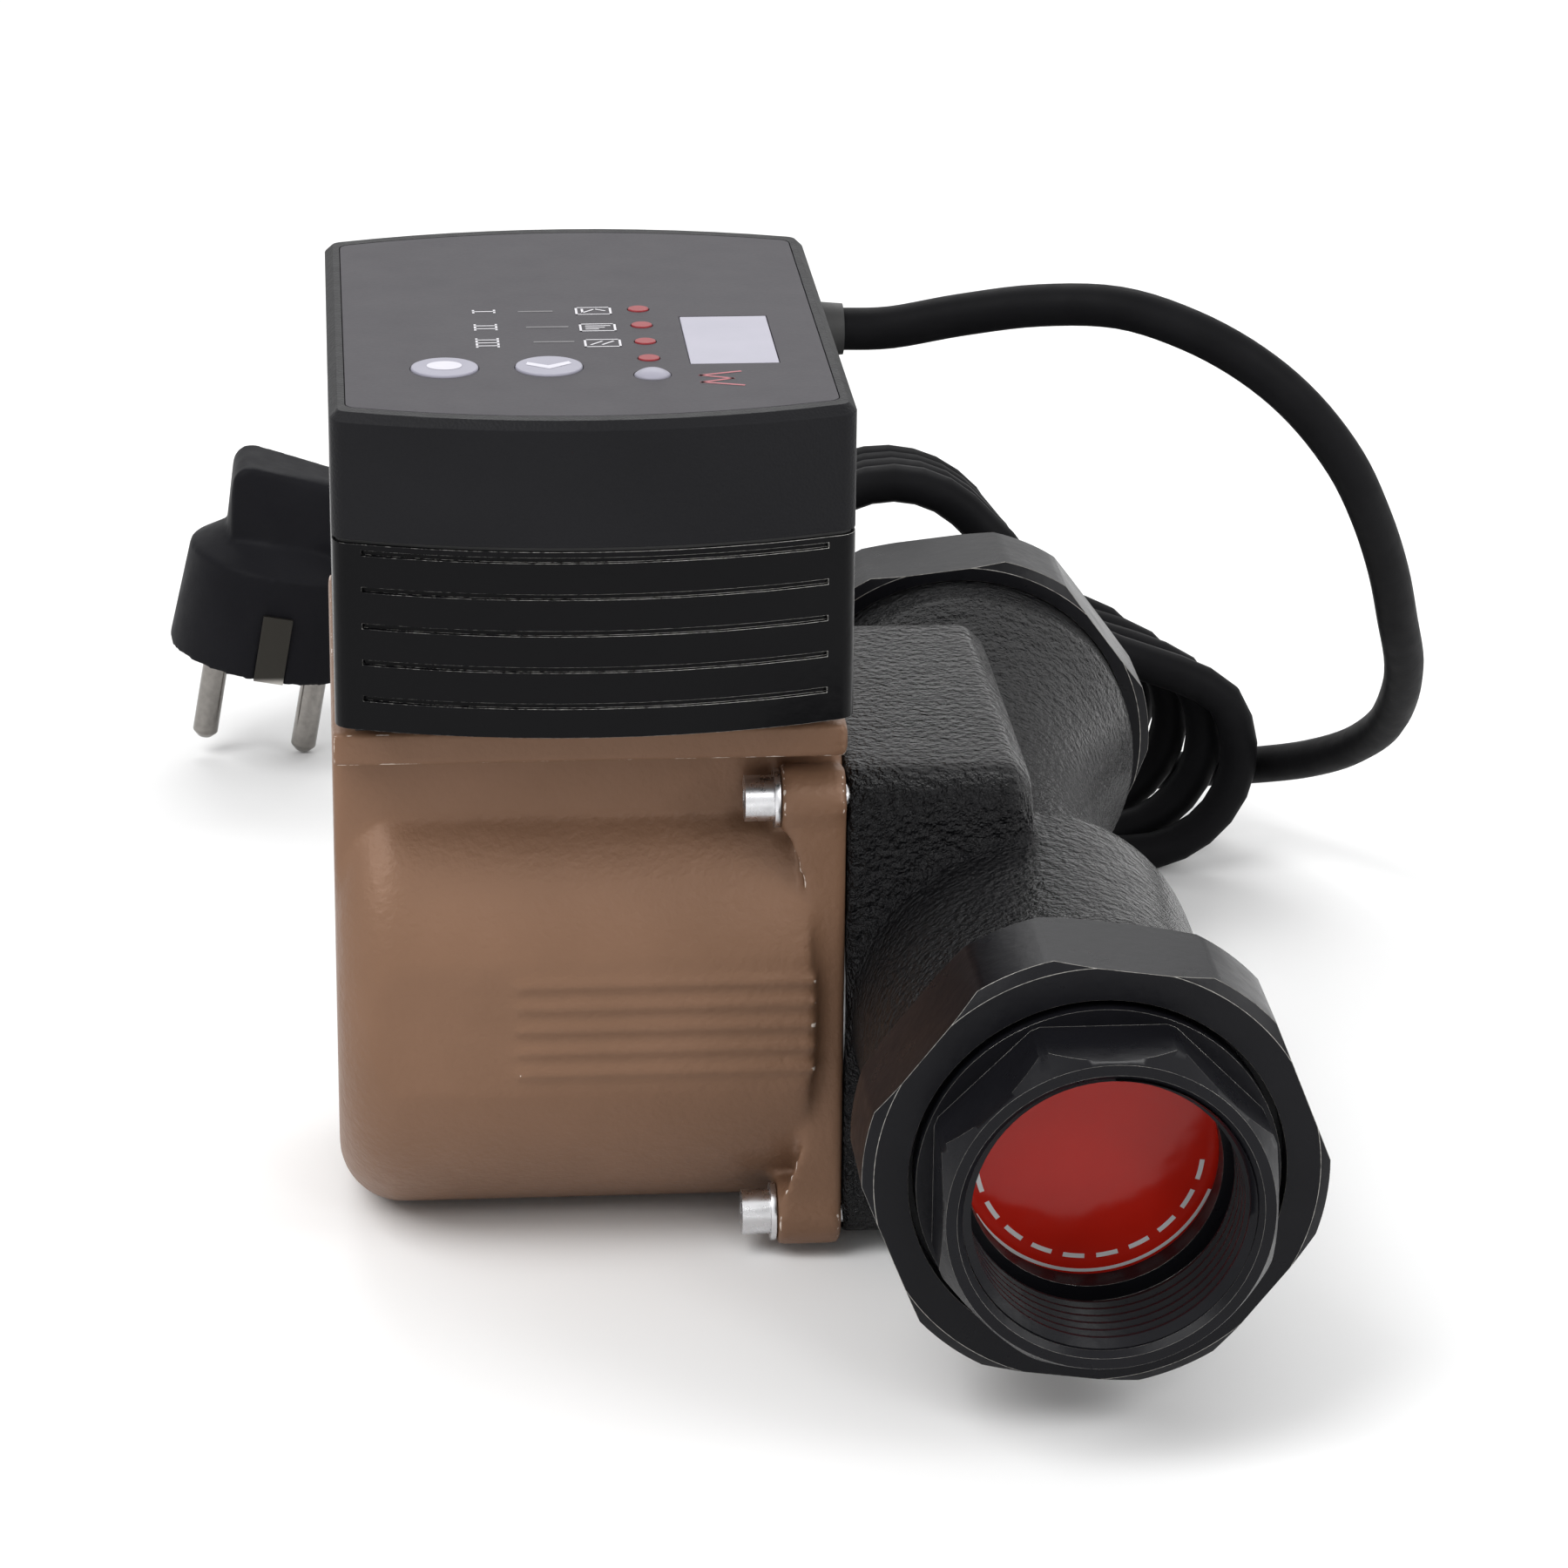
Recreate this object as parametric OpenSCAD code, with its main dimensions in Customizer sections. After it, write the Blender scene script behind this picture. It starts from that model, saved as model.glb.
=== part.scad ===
// Circulation pump with two in-line union connections, a wet-rotor motor and a control box.
// The part stands on the floor at z = 0. The flow runs along +Y, the motor's axis along X.

/* [Connections] */
// Distance between the two port faces
port_face_l = 180; // [170:1:220]
// Major diameter of the outside thread on each port
port_thread_d = 59.6; // [58:0.1:60]
// Length of the outside thread on each port
port_thread_l = 18; // [12:0.5:22]
// Bore of the two ports
port_bore_d = 38; // [34:0.5:40]
// Width of the union nuts across flats
nut_flats = 63.4; // [62.6:0.1:65]
// Diameter to which the corners of the nuts are turned
nut_corner_d = 67.5; // [66:0.1:72]
// Length of the union nuts
nut_l = 18.8; // [16:0.1:24]
// Turn of the nut on the inlet, clockwise seen from the front
inlet_nut_turn = 8; // [0:0.5:60]
// Turn of the nut on the outlet, clockwise seen from the front
outlet_nut_turn = -6.5; // [-60:0.5:60]
// Major diameter of the inside thread of the tailpieces
tail_thread_d = 41.8; // [38:0.1:42]
// Length of the inside thread of the tailpieces
tail_thread_l = 17; // [12:0.5:18]
// Length of each tailpiece outside its union nut
tail_reach = 14.2; // [10:0.1:30]
// Width of the tailpieces across the corners of their eight flats
tail_corners = 51.4; // [50:0.1:53]

/* [Motor] */
// Radius of the round motor barrel
barrel_r = 42.3; // [41.6:0.1:44]
// Distance from the motor's axis to the flats of the barrel, and to the floor
barrel_flat = 41; // [40.5:0.1:41.5]
// Side of the square flange and of the volute's block
flange_w = 77; // [77:0.5:80]
// Distance between the flange screws
screw_pitch = 68.4; // [68:0.1:69]
// Thickness of the flange at its screws
flange_t = 10; // [9.5:0.1:12]
// Height of the deck's top above the motor's axis
deck_top = 47.3; // [46.5:0.1:52]
// Thickness of the deck
deck_t = 5.2; // [4:0.1:6]
// Distance from the flange's face to the flow axis
flange_to_flow = 30.5; // [30:0.1:36]
// Radius of the rotor's iron core
rotor_r = 19.8; // [17:0.1:19.8]
// Radius of the impeller
impeller_r = 28.5; // [24:0.1:29]
// Radius of the shaft
shaft_r = 5; // [4:0.1:5.5]

/* [Control box] */
// Width of the box along the motor's axis
box_w = 76.3; // [74:0.1:77]
// Length of the box along the flow axis, over its bowed ends
box_l = 109.6; // [108:0.1:125]
// Height of the bow of each end
box_bow = 6.8; // [5:0.1:8]
// Height of the finned base with its foot
base_h = 33.6; // [32:0.1:45]
// Height of the cover
cover_h = 18.8; // [18:0.1:26]
// Thickness of the box walls
box_wall = 2.2; // [1.6:0.1:2.6]
// Width of the front panel
panel_w = 71.5; // [70:0.1:72]
// Radius of the two push buttons
button_r = 5; // [4:0.1:5.5]
// Travel of the two push buttons
button_travel = 0.4; // [0.2:0.05:0.5]

/* [Cord] */
// Diameter of the cord
cord_d = 6.8; // [6:0.1:7]
// Length of the plug's two pins
pin_l = 19; // [17:0.5:19]
// Distance between the plug's two pins
pin_pitch = 19; // [18:0.5:20]

/* [Hidden] */
$fn = 48;

// Overrun of every cut, running clearance of moving fits, and clearance of loose fits
over = 1;
run = 0.1;
loose = 0.1;

// Main places
box_gap = 0.5;
box_end_gap = 0.2;
motor_l = box_gap + box_w + box_end_gap;
axis_z = barrel_flat;
nut_r = nut_corner_d / 2;
flow_x = (motor_l + flange_to_flow - nut_r) / 2;
flange_x = flow_x - flange_to_flow;
motor_x = flange_x - motor_l;
port_y = port_face_l / 2;
deck_z = axis_z + deck_top;

// Volute
block_t = 28.6;
block_slope_l = 3;
block_slope_in = 2.4;
block_corner_r = 7;
scroll_r = 42;
scroll_l = 21;
scroll_inset = 4;
scroll_half = 39.6;
core_r = 18;
drum_r = 27.5;
drum_shift = 2;
drum_end_y = 14;
drum_round = 12;
bell_start_y = 26;
thread_root = 0.6;
chamber_r = 31.5;
chamber_l = 17;
chamber_recess_r = 32.7;
chamber_recess_l = 2.4;
can_recess_r = 36.7;
suction_r = 12;
suction_end_y = 6;
passage_start_y = 58;
delivery_start_y = 20;
duct_r = 8;
duct_rise = 22;
duct_y = 30;
duct_slope = 20;
screw_r = 2;
screw_thread_l = 12;

// Wear ring, seals and bearings
wear_r = 15.5;
wear_bore_r = 13.3;
wear_l = 3.6;
seal_r = 34.9;
seal_d = 2.2;
plate_t = 1.6;
can_flange_t = 0.7;
can_r = 21.2;
can_wall = 0.5;
can_short_l = 11;
can_l = motor_l - can_short_l;
can_end_t = 0.8;
can_neck_r = 8.5;
can_neck_l = 5.6;
plate_hub_r = 11;
plate_hub_l = 7;
bearing_r = 8.5;
front_bearing_l = 9;
rear_bearing_l = 8;
rear_bearing_gap = 4;
cup_wall = 0.8;
cup_l = 12.5;

// Stator
stator_r = 35;
stator_bore_r = 21.3;
stator_short_l = 33;
stator_l = motor_l - stator_short_l;
stator_gap = 10;
slot_count = 12;
slot_w = 5;
slot_in_r = 24;
slot_out_r = 30.5;
coil_in_r = 23.4;
coil_out_r = 32;
coil_l = 7.8;
lead_r = 1.1;
lead_gap = 4;
lead_hole_r = 7;
lead_depth = 0.5;

// Motor housing
housing_wall = 4;
barrel_round = 10;
web_half = 29.4;
flange_edge = 3.5;
flange_cone = 1.81;
flange_corner_r = 3;
boss_r = 5.2;
rib_count = 5;
rib_pitch = 3.6;
rib_h = 0.9;
rib_out = 0.35;
rib_l = 46;
rib_gap = 6;

// Fasteners
washer_r = 4.5;
washer_t = 0.9;
head_r = 3.5;
head_l = 4.4;
socket_r = 1.73;
socket_l = 2.4;

// Vent screw
vent_head_r = 10.5;
vent_head_l = 2.6;
vent_inset = 0.4;
vent_slot_w = 1.6;
vent_slot_l = 1.2;
vent_shank_r = 6.2;
vent_shank_l = 9;
vent_seal_t = 1.6;
vent_bore_r = vent_shank_r + run;

// Rotor
shaft_gap = 1;
shaft_out = 13;
rotor_short_l = 37;
rotor_l = motor_l - rotor_short_l;
rotor_gap = 12;
sleeve_t = 0.3;
thrust_r = 9;
thrust_t = 2.5;
impeller_gap = 4.2;
disc_t = 1.6;
blade_h = 6;
blade_t = 1.4;
blade_count = 6;
blade_r = 16;
eye_r = 11.5;
eye_l = 6.2;
hub_r = 7.5;
hub_l = 7.6;

// Unions
disc_cover_t = 0.5;
disc_cover_r = 25;
gasket_t = 2;
gasket_bore_r = 20;
tail_flange_t = 2.8;
tail_flange_r = 28.9;
tail_collar_r = 26.2;
tail_collar_l = 5;
tail_step_r = 18.5;
tail_rim_r = 23.4;
tail_turned = 0.3;
tail_mouth = 0.9;
tail_cone_l = 4;
lip_r = 27.2;
nut_chamfer = 1.6;
nut_chamfer_l = 1.1;

// Box base
box_corner_r = 3;
deck_gasket_t = 1;
foot_h = 3.5;
foot_inset = 3;
foot_half_share = 0.3376;
foot_half = foot_half_share * box_l;
floor_t = 2;
fin_count = 5;
fin_pitch = 5.57;
fin_first = 4.5;
fin_h = 0.8;
fin_depth = 0.6;
fin_side = 4.2;
post_r = 4;
post_at_share = [0.262, 0.438];
post_x = post_at_share[0] * box_w;
post_y = post_at_share[1] * box_l;
m3_r = 1.5;
m3_head_r = 2.8;
m3_head_l = 2.6;
m3_recess = 3;
m3_reach = 10;
base_screw_share = [0.354, 0.274];
base_screw_x = base_screw_share[0] * box_w;
base_screw_y = base_screw_share[1] * box_l;
base_screw_head_l = 2.6;
base_screw_l = 11;
cover_seal_t = 0.6;
cover_seal_in = 0.6;
cover_seal_w = 1.2;

// Inside the base
block_size = [20, 34, 13];
block_hole_r = 1.8;
block_hole_pitch = 9;
block_hole_l = 5;
capacitor_r = 12;
capacitor_l = 36;
capacitor_at_share = [0.28, -0.06];
inductor_r = 11;
inductor_bore_r = 4;
inductor_h = 12;
inductor_at_share = [0.02, 0.28];

// Box cover
cover_top_t = 2.6;
cover_chamfer = 1.2;
recess_t = 0.8;
panel_l = 102.4;
panel_bow = 6.4;
panel_corner_r = 2;
board_share = [0.865, 0.766];
board_size = [board_share[0] * box_w, board_share[1] * box_l];
board_t = 1.6;
board_drop = 7.5;
board_post_r = 3;
board_post_share = [0.38, 0.31, 0.219];
board_post_x = board_post_share[0] * box_w;
board_post_front = board_post_share[1] * box_l;
board_post_back = board_post_share[2] * box_l;
pilot_r = 1.2;
board_head_r = 2.4;
board_head_l = 1.6;
board_screw_in = 5;

// Panel: places from the middle of the box
button_left = [-21, -25.8];
button_right = [-5.6, -25.8];
button_rim_r = 6.1;
button_rim_t = 1;
button_out = 0.3;
stem_r = 1.6;
stem_l = 2.9;
key_size = [6, 6];
key_gap = 0.05;
lamp_r = 1.6;
lamp_out = 0.2;
lamp_x = 9.4;
lamp_first_y = -21.9;
lamp_pitch = 9;
lamp_count = 4;
status_at = [9.4, -30.6];
status_r = 2.7;
status_rise = 1;
window_at = [22, -12.3];
window_size = [13.2, 25.6];
window_t = 1.4;

// Cord gland
gland_y = 39.5;
gland_drop = 13.3;
gland_r = 4.6;
gland_flange_r = 5.2;
gland_flange_t = 1.8;
gland_out = 6;
gland_tip_r = 4.1;
wire_r = 1;
wire_pitch = 2.8;

// Cord: points of the free lengths, chosen by hand
tube_sides = 10;
gland_z = deck_z + base_h + cover_h - gland_drop;
wall_x = motor_x + box_gap + box_w;
lead_start = [wall_x + gland_out, gland_y, gland_z];
lead_route = [
    [20, 39.3, 127.6], [31, 37.5, 130], [43, 33.5, 132.5], [55, 28, 133.5], [66, 25, 130.5],
    [76, 24, 125], [85, 26, 117], [93, 30, 106.5], [99, 37, 95], [104, 46, 83],
    [108, 56, 71], [112, 68, 59], [114, 81, 48], [114, 94, 38], [111, 107, 29.5],
    [106, 119, 23], [100, 130, 18], [93, 141, 13.5], [84, 149, 10], [74, 153.5, 8.5],
];
tail_route = [
    [56, 124, 3.6], [43, 124.3, 3.6], [31, 126.5, 3.6], [20.5, 131.5, 3.6], [12, 140, 4.1],
    [7, 151, 7], [5, 163, 13.5], [2.6, 175.5, 22.5], [-4.4, 186.6, 31], [-14.8, 193.8, 37.3],
];

// Cord hank: loops on edge behind the outlet, open at their lower right end
hank_turns = 4;
hank_rings = 24;
hank_sides = 6;
hank_r = 19;
hank_dip = 6.5;
hank_pitch = 7.6;
hank_front_y = 124;
hank_low_front = [75, 22.4];
hank_low_rear = [54.2, 27.2];
hank_high_front = [29.5, 56];
hank_high_rear = [30.5, 51.5];
hank_checks = 48;

// Plug
plug_x = -85.5;
plug_y = 196;
plug_lift = 2.1;
plug_roll = 10;
pin_r = 2.4;
pin_tip = 1.2;
skirt_r = 19;
skirt_top_r = 17.9;
skirt_h = 20;
shoulder_h = 4.5;
shoulder_r = 11.5;
grip_w = 8.5;
grip_half = 8;
grip_h = 13.5;
grip_round = 3.5;
grip_l = 24;
grip_end_r = 6.2;
grip_rise = 9;
strain_l = 20;
strain_r = 4.3;
contact_w = 5.8;
contact_t = 1;
contact_h = 13;
contact_gap = 3;

// Derived heights and places of the box
box_x = motor_x + box_gap + box_w / 2;
foot_z = deck_z + deck_gasket_t;
floor_z = foot_z + foot_h;
joint_z = deck_z + base_h;
top_z = joint_z + cover_h;
roof_z = top_z - cover_top_t;
board_z = roof_z - board_drop - board_t;
board_top = board_z + board_t;

// General helpers
// A frame whose z axis runs along +X on the motor's axis, from x
module along_x(x) {
    translate([x, 0, axis_z]) rotate([0, 90, 0]) children();
}

// A frame whose z axis runs along +Y on the flow axis, from y
module along_y(y) {
    translate([flow_x, y, axis_z]) rotate([-90, 0, 0]) children();
}

module at_box(at, z) {
    translate([box_x + at[0], at[1], z]) children();
}

module ring(outer, inner, h) {
    difference() {
        cylinder(r = outer, h = h);
        translate([0, 0, -over]) cylinder(r = inner, h = h + 2 * over);
    }
}

// Square prism of side w with rounded corners, h long, in the frame along X
module rounded_prism(w, r, h) {
    side = w - 2 * r;
    translate([-w / 2, -side / 2, 0]) cube([w, side, h]);
    translate([-side / 2, -w / 2, 0]) cube([side, w, h]);
    for (a = [-1, 1], b = [-1, 1]) {
        translate([a * side / 2, b * side / 2, 0]) cylinder(r = r, h = h);
    }
}

module on_corners(x, y) {
    for (a = [-1, 1], b = [-1, 1]) translate([a * x, b * y, 0]) children();
}

// Points of a rectangle w by l whose two ends bow out, with rounded corners
function bowed_half(w, l, bow, r) = let(
    big = (w * w / 4 + bow * bow) / (2 * bow),
    drop = big - l / 2,
    cx = w / 2 - r,
    cy = sqrt(pow(big - r, 2) - cx * cx) - drop,
    edge = atan2(cy + drop, cx)
) concat(
    [for (i = [0:4]) let(a = edge * i / 4) [cx + r * cos(a), cy + r * sin(a)]],
    [for (i = [1:11]) let(a = edge + (180 - 2 * edge) * i / 12) [big * cos(a), big * sin(a) - drop]],
    [for (i = [0:4]) let(a = 180 - edge + edge * i / 4) [r * cos(a) - cx, cy + r * sin(a)]]
);

function bowed(w, l, bow, r) = let(half = bowed_half(w, l, bow, r)) concat(half, [for (p = half) -p]);

module bowed_slab(w, l, bow, r, h) {
    linear_extrude(height = h) polygon(bowed(w, l, bow, r));
}

// The box outline drawn in by an inset
module box_slab(inset, h) {
    r = max(box_corner_r - inset, box_corner_r / 4);
    bowed_slab(box_w - 2 * inset, box_l - 2 * inset, box_bow, r, h);
}

// A tube swept along points, its rings turned so that one side faces the side vector
function tangents(p) = [
    for (i = [0:len(p) - 1]) let(v = p[min(i + 1, len(p) - 1)] - p[max(i - 1, 0)]) v / norm(v)
];

function ring_points(p, t, side, r, sides) = let(
    u = cross(t, side) / norm(cross(t, side)),
    v = cross(u, t)
) [for (j = [0:sides - 1]) let(a = 360 * j / sides) p + r * (cos(a) * u + sin(a) * v)];

module tube(points, side, r, sides) {
    t = tangents(points);
    n = len(points);
    rings = [for (i = [0:n - 1]) each ring_points(points[i], t[i], side, r, sides)];
    walls = [
        for (i = [0:n - 2], j = [0:sides - 1])
        let(a = i * sides + j, b = i * sides + (j + 1) % sides)
        each [[a, b, b + sides], [a, b + sides, a + sides]]
    ];
    caps = [
        for (j = [1:sides - 2]) each [
            [0, j + 1, j],
            [(n - 1) * sides, (n - 1) * sides + j, (n - 1) * sides + j + 1],
        ]
    ];
    polyhedron(points = rings, faces = concat(walls, caps));
}

// Volute
function bell_profile(steps) = [
    for (i = [0:steps]) let(s = i / steps) [
        core_r + (port_thread_d / 2 - core_r) * (1 - cos(90 * s)),
        bell_start_y + (port_y - port_thread_l - bell_start_y) * s,
    ]
];

module port_thread() {
    difference() {
        translate([0, 0, port_y - port_thread_l]) cylinder(d = port_thread_d, h = port_thread_l);
        translate([0, 0, port_y - thread_root]) difference() {
            cylinder(d = port_thread_d + over, h = thread_root + over);
            cylinder(d1 = port_thread_d, d2 = port_thread_d - 2 * thread_root, h = thread_root);
        }
    }
}

module inlet_drum() {
    l = port_y - port_thread_l - drum_end_y;
    rotate_extrude() {
        square([drum_r - drum_round, l]);
        square([drum_r, l - drum_round]);
        translate([drum_r - drum_round, l - drum_round]) intersection() {
            circle(r = drum_round);
            square(drum_round);
        }
    }
}

module volute_outside() {
    along_x(flange_x) rounded_prism(flange_w, block_corner_r, block_t - block_slope_l);
    hull() {
        along_x(flange_x + block_t - block_slope_l - over) rounded_prism(flange_w, block_corner_r, over);
        along_x(flange_x + block_t - over) rounded_prism(flange_w - 2 * block_slope_in, block_corner_r, over);
    }
    intersection() {
        along_x(flange_x + scroll_inset) cylinder(r = scroll_r, h = scroll_l);
        translate([flange_x, -scroll_half, 0]) cube([block_t, 2 * scroll_half, axis_z + flange_w / 2]);
    }
    along_y(-drum_end_y - drum_round) cylinder(r = core_r, h = drum_end_y + drum_round + bell_start_y);
    translate([-drum_shift, 0, 0]) along_y(-port_y + port_thread_l) inlet_drum();
    along_y(0) mirror([0, 0, 1]) port_thread();
    along_y(0) port_thread();
    along_y(0) rotate_extrude() {
        polygon(concat([[0, bell_start_y]], bell_profile(12), [[0, port_y - port_thread_l]]));
    }
}

module volute() {
    color([0.07, 0.07, 0.08]) difference() {
        volute_outside();
        along_x(flange_x - over) cylinder(r = chamber_recess_r, h = chamber_recess_l + over);
        along_x(flange_x) cylinder(r = chamber_r, h = chamber_l);
        along_x(flange_x - over) cylinder(r = can_recess_r, h = can_flange_t + over);
        along_x(flange_x) ring(seal_r + seal_d / 2, seal_r - seal_d / 2, can_flange_t + seal_d);
        along_x(flange_x + chamber_l - over) cylinder(r = wear_r, h = wear_l + over);
        along_x(flange_x + chamber_l) cylinder(r = eye_r, h = flange_to_flow - chamber_l);
        along_y(-port_y - over) cylinder(d = port_bore_d, h = port_y - passage_start_y + over);
        along_y(-passage_start_y - over) cylinder(r = suction_r, h = passage_start_y + over + suction_end_y);
        along_y(passage_start_y) cylinder(d = port_bore_d, h = port_y - passage_start_y + over);
        along_y(delivery_start_y) cylinder(r = suction_r, h = passage_start_y - delivery_start_y + over);
        translate([flow_x, duct_y, axis_z]) rotate([0, -90, duct_slope]) cylinder(r = duct_r, h = duct_rise);
        along_x(flange_x - over) on_corners(screw_pitch / 2, screw_pitch / 2) {
            cylinder(r = screw_r, h = screw_thread_l + over);
        }
    }
}

module wear_ring() {
    color("silver") along_x(flange_x + chamber_l) ring(wear_r, wear_bore_r, wear_l);
}

module housing_seal() {
    color([0.1, 0.1, 0.1]) along_x(flange_x + can_flange_t + seal_d / 2) rotate_extrude() {
        translate([seal_r, 0]) circle(d = seal_d - loose);
    }
}

module bearing_plate() {
    color("silver") {
        along_x(flange_x + can_flange_t) ring(chamber_recess_r - loose, bearing_r, plate_t);
        along_x(flange_x + can_flange_t - plate_hub_l) ring(plate_hub_r, bearing_r, plate_hub_l);
    }
}

module rotor_can() {
    color("silver") {
        along_x(flange_x) ring(can_recess_r - loose, can_r - can_wall, can_flange_t);
        along_x(flange_x - can_l) ring(can_r, can_r - can_wall, can_l);
        along_x(flange_x - can_l - can_end_t) ring(can_r, vent_bore_r, can_end_t);
        along_x(flange_x - can_l) ring(bearing_r + cup_wall, bearing_r, cup_l);
        along_x(flange_x - can_l - can_end_t - can_neck_l) ring(can_neck_r, vent_bore_r, can_neck_l);
    }
}

module sleeve_bearing(l) {
    ring(bearing_r, shaft_r + run / 2, l);
}

module front_bearing() {
    color("dimgray") along_x(flange_x + can_flange_t + plate_t - front_bearing_l) {
        sleeve_bearing(front_bearing_l);
    }
}

module rear_bearing() {
    color("dimgray") along_x(flange_x - can_l + rear_bearing_gap) sleeve_bearing(rear_bearing_l);
}

// Stator
stator_x = flange_x - stator_gap - stator_l;

module stator_core() {
    color("slategray") difference() {
        along_x(stator_x) ring(stator_r, stator_bore_r, stator_l);
        along_x(stator_x - over) for (i = [0:slot_count - 1]) rotate(360 * i / slot_count) {
            translate([slot_in_r, -slot_w / 2, 0]) cube([slot_out_r - slot_in_r, slot_w, stator_l + 2 * over]);
        }
    }
}

module stator_windings() {
    color("peru") {
        along_x(stator_x - coil_l) ring(coil_out_r, coil_in_r, coil_l);
        along_x(stator_x + stator_l) ring(coil_out_r, coil_in_r, coil_l);
        along_x(stator_x) for (i = [0:slot_count - 1]) rotate(360 * i / slot_count) {
            translate([slot_in_r + loose, -slot_w / 2 + loose, 0]) {
                cube([slot_out_r - slot_in_r - 2 * loose, slot_w - 2 * loose, stator_l]);
            }
        }
    }
}

module motor_leads() {
    bottom = axis_z + coil_out_r - lead_depth;
    color("white") for (i = [-1:1]) {
        translate([stator_x - coil_l / 2, i * lead_gap, bottom]) {
            cylinder(r = lead_r, h = floor_z + floor_t - bottom);
        }
    }
}

// Motor housing
module barrel_form() {
    rotate_extrude() {
        square([barrel_r - barrel_round, motor_l]);
        translate([0, barrel_round]) square([barrel_r, motor_l - barrel_round]);
        translate([barrel_r - barrel_round, barrel_round]) circle(r = barrel_round);
    }
}

// Space round the barrel that the flange's dished left side leaves free
module flange_dish() {
    l = flange_t - flange_edge + over;
    r = flange_w / 2 + l * flange_cone;
    along_x(flange_x - flange_edge - l) cylinder(r1 = r, r2 = flange_w / 2, h = l);
}

module housing_outside() {
    intersection() {
        along_x(motor_x) barrel_form();
        translate([motor_x, -barrel_flat, axis_z - barrel_flat]) cube([motor_l, 2 * barrel_flat, 2 * barrel_flat]);
        union() {
            flange_dish();
            translate([motor_x, -barrel_flat, 0]) cube([motor_l - flange_t, 2 * barrel_flat, deck_z]);
            along_x(flange_x - flange_t) cylinder(d = flange_w, h = flange_t);
        }
    }
    difference() {
        along_x(flange_x - flange_t) rounded_prism(flange_w, flange_corner_r, flange_t);
        flange_dish();
    }
    along_x(flange_x - flange_t) on_corners(screw_pitch / 2, screw_pitch / 2) intersection() {
        cylinder(r = boss_r, h = flange_t);
        translate([-flange_w / 2, -flange_w / 2, 0]) cube([flange_w, flange_w, flange_t]);
    }
    translate([motor_x, -web_half, axis_z]) cube([motor_l, 2 * web_half, deck_top]);
    translate([motor_x, -flange_w / 2, deck_z - deck_t]) cube([motor_l, flange_w, deck_t]);
    for (a = [-1, 1], i = [0:rib_count - 1]) {
        translate([
            flange_x - flange_t + rib_gap - rib_l,
            a * (barrel_flat + rib_out / 2) - rib_out / 2 - over / 2,
            axis_z + rib_pitch * (i - (rib_count - 1) / 2) - rib_h / 2,
        ]) cube([rib_l, rib_out + over, rib_h]);
    }
}

module motor_housing() {
    color([0.5, 0.38, 0.31]) difference() {
        housing_outside();
        along_x(motor_x + housing_wall) cylinder(r = stator_r, h = motor_l);
        along_x(motor_x - over) cylinder(r = can_neck_r + loose, h = housing_wall + 2 * over);
        along_x(motor_x - over) cylinder(r = vent_head_r + loose, h = vent_head_l + vent_inset + over);
        along_x(flange_x - flange_t - over) on_corners(screw_pitch / 2, screw_pitch / 2) {
            cylinder(r = screw_r, h = flange_t + 2 * over);
        }
        translate([stator_x - coil_l / 2, 0, axis_z]) cylinder(r = lead_hole_r, h = deck_top + over);
        at_box([0, 0], deck_z - deck_t) on_corners(base_screw_x, base_screw_y) {
            cylinder(r = screw_r, h = deck_t + over);
        }
    }
}

// Screws that hold the motor to the volute
module socket_screw(shank) {
    difference() {
        union() {
            cylinder(r = head_r, h = head_l);
            cylinder(r = screw_r, h = shank);
        }
        translate([0, 0, -over]) cylinder(r = socket_r, h = socket_l + over, $fn = 6);
    }
}

module flange_screws() {
    color("silver") along_x(flange_x - flange_t - washer_t - head_l) {
        on_corners(screw_pitch / 2, screw_pitch / 2) {
            socket_screw(head_l + washer_t + flange_t + screw_thread_l);
        }
    }
}

module flange_washers() {
    color("silver") along_x(flange_x - flange_t - washer_t) {
        on_corners(screw_pitch / 2, screw_pitch / 2) ring(washer_r, screw_r, washer_t);
    }
}

// Vent screw
vent_x = motor_x + vent_inset;

module vent_screw() {
    color("silver") difference() {
        union() {
            along_x(vent_x) cylinder(r = vent_head_r, h = vent_head_l);
            along_x(vent_x) cylinder(r = vent_shank_r, h = vent_head_l + vent_shank_l);
        }
        translate([vent_x - over, -vent_head_r - over, axis_z - vent_slot_w / 2]) {
            cube([vent_slot_l + over, 2 * (vent_head_r + over), vent_slot_w]);
        }
    }
}

module vent_seal() {
    color([0.1, 0.1, 0.1]) along_x(flange_x - can_l - can_end_t - can_neck_l - vent_seal_t + loose) {
        ring(can_neck_r, vent_bore_r, vent_seal_t - loose);
    }
}

// Rotor
shaft_start = flange_x - can_l + rear_bearing_gap + shaft_gap;
core_x = flange_x - rotor_gap - rotor_l;

module rotor_shaft() {
    color("ivory") along_x(shaft_start) cylinder(r = shaft_r, h = flange_x + shaft_out - shaft_start);
}

module rotor_core() {
    color("gray") along_x(core_x) ring(rotor_r, shaft_r, rotor_l);
}

module rotor_sleeve() {
    color("silver") along_x(core_x) ring(rotor_r + sleeve_t, rotor_r, rotor_l);
}

module thrust_ring() {
    start = flange_x + can_flange_t + plate_t - front_bearing_l - run - thrust_t;
    color("dimgray") along_x(start) ring(thrust_r, shaft_r, thrust_t);
}

module blade() {
    intersection() {
        translate([0, blade_r, 0]) ring(blade_r, blade_r - blade_t, blade_h);
        translate([hub_r, -over, 0]) cube([impeller_r, impeller_r, blade_h]);
        cylinder(r = impeller_r - disc_t, h = blade_h);
    }
}

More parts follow.
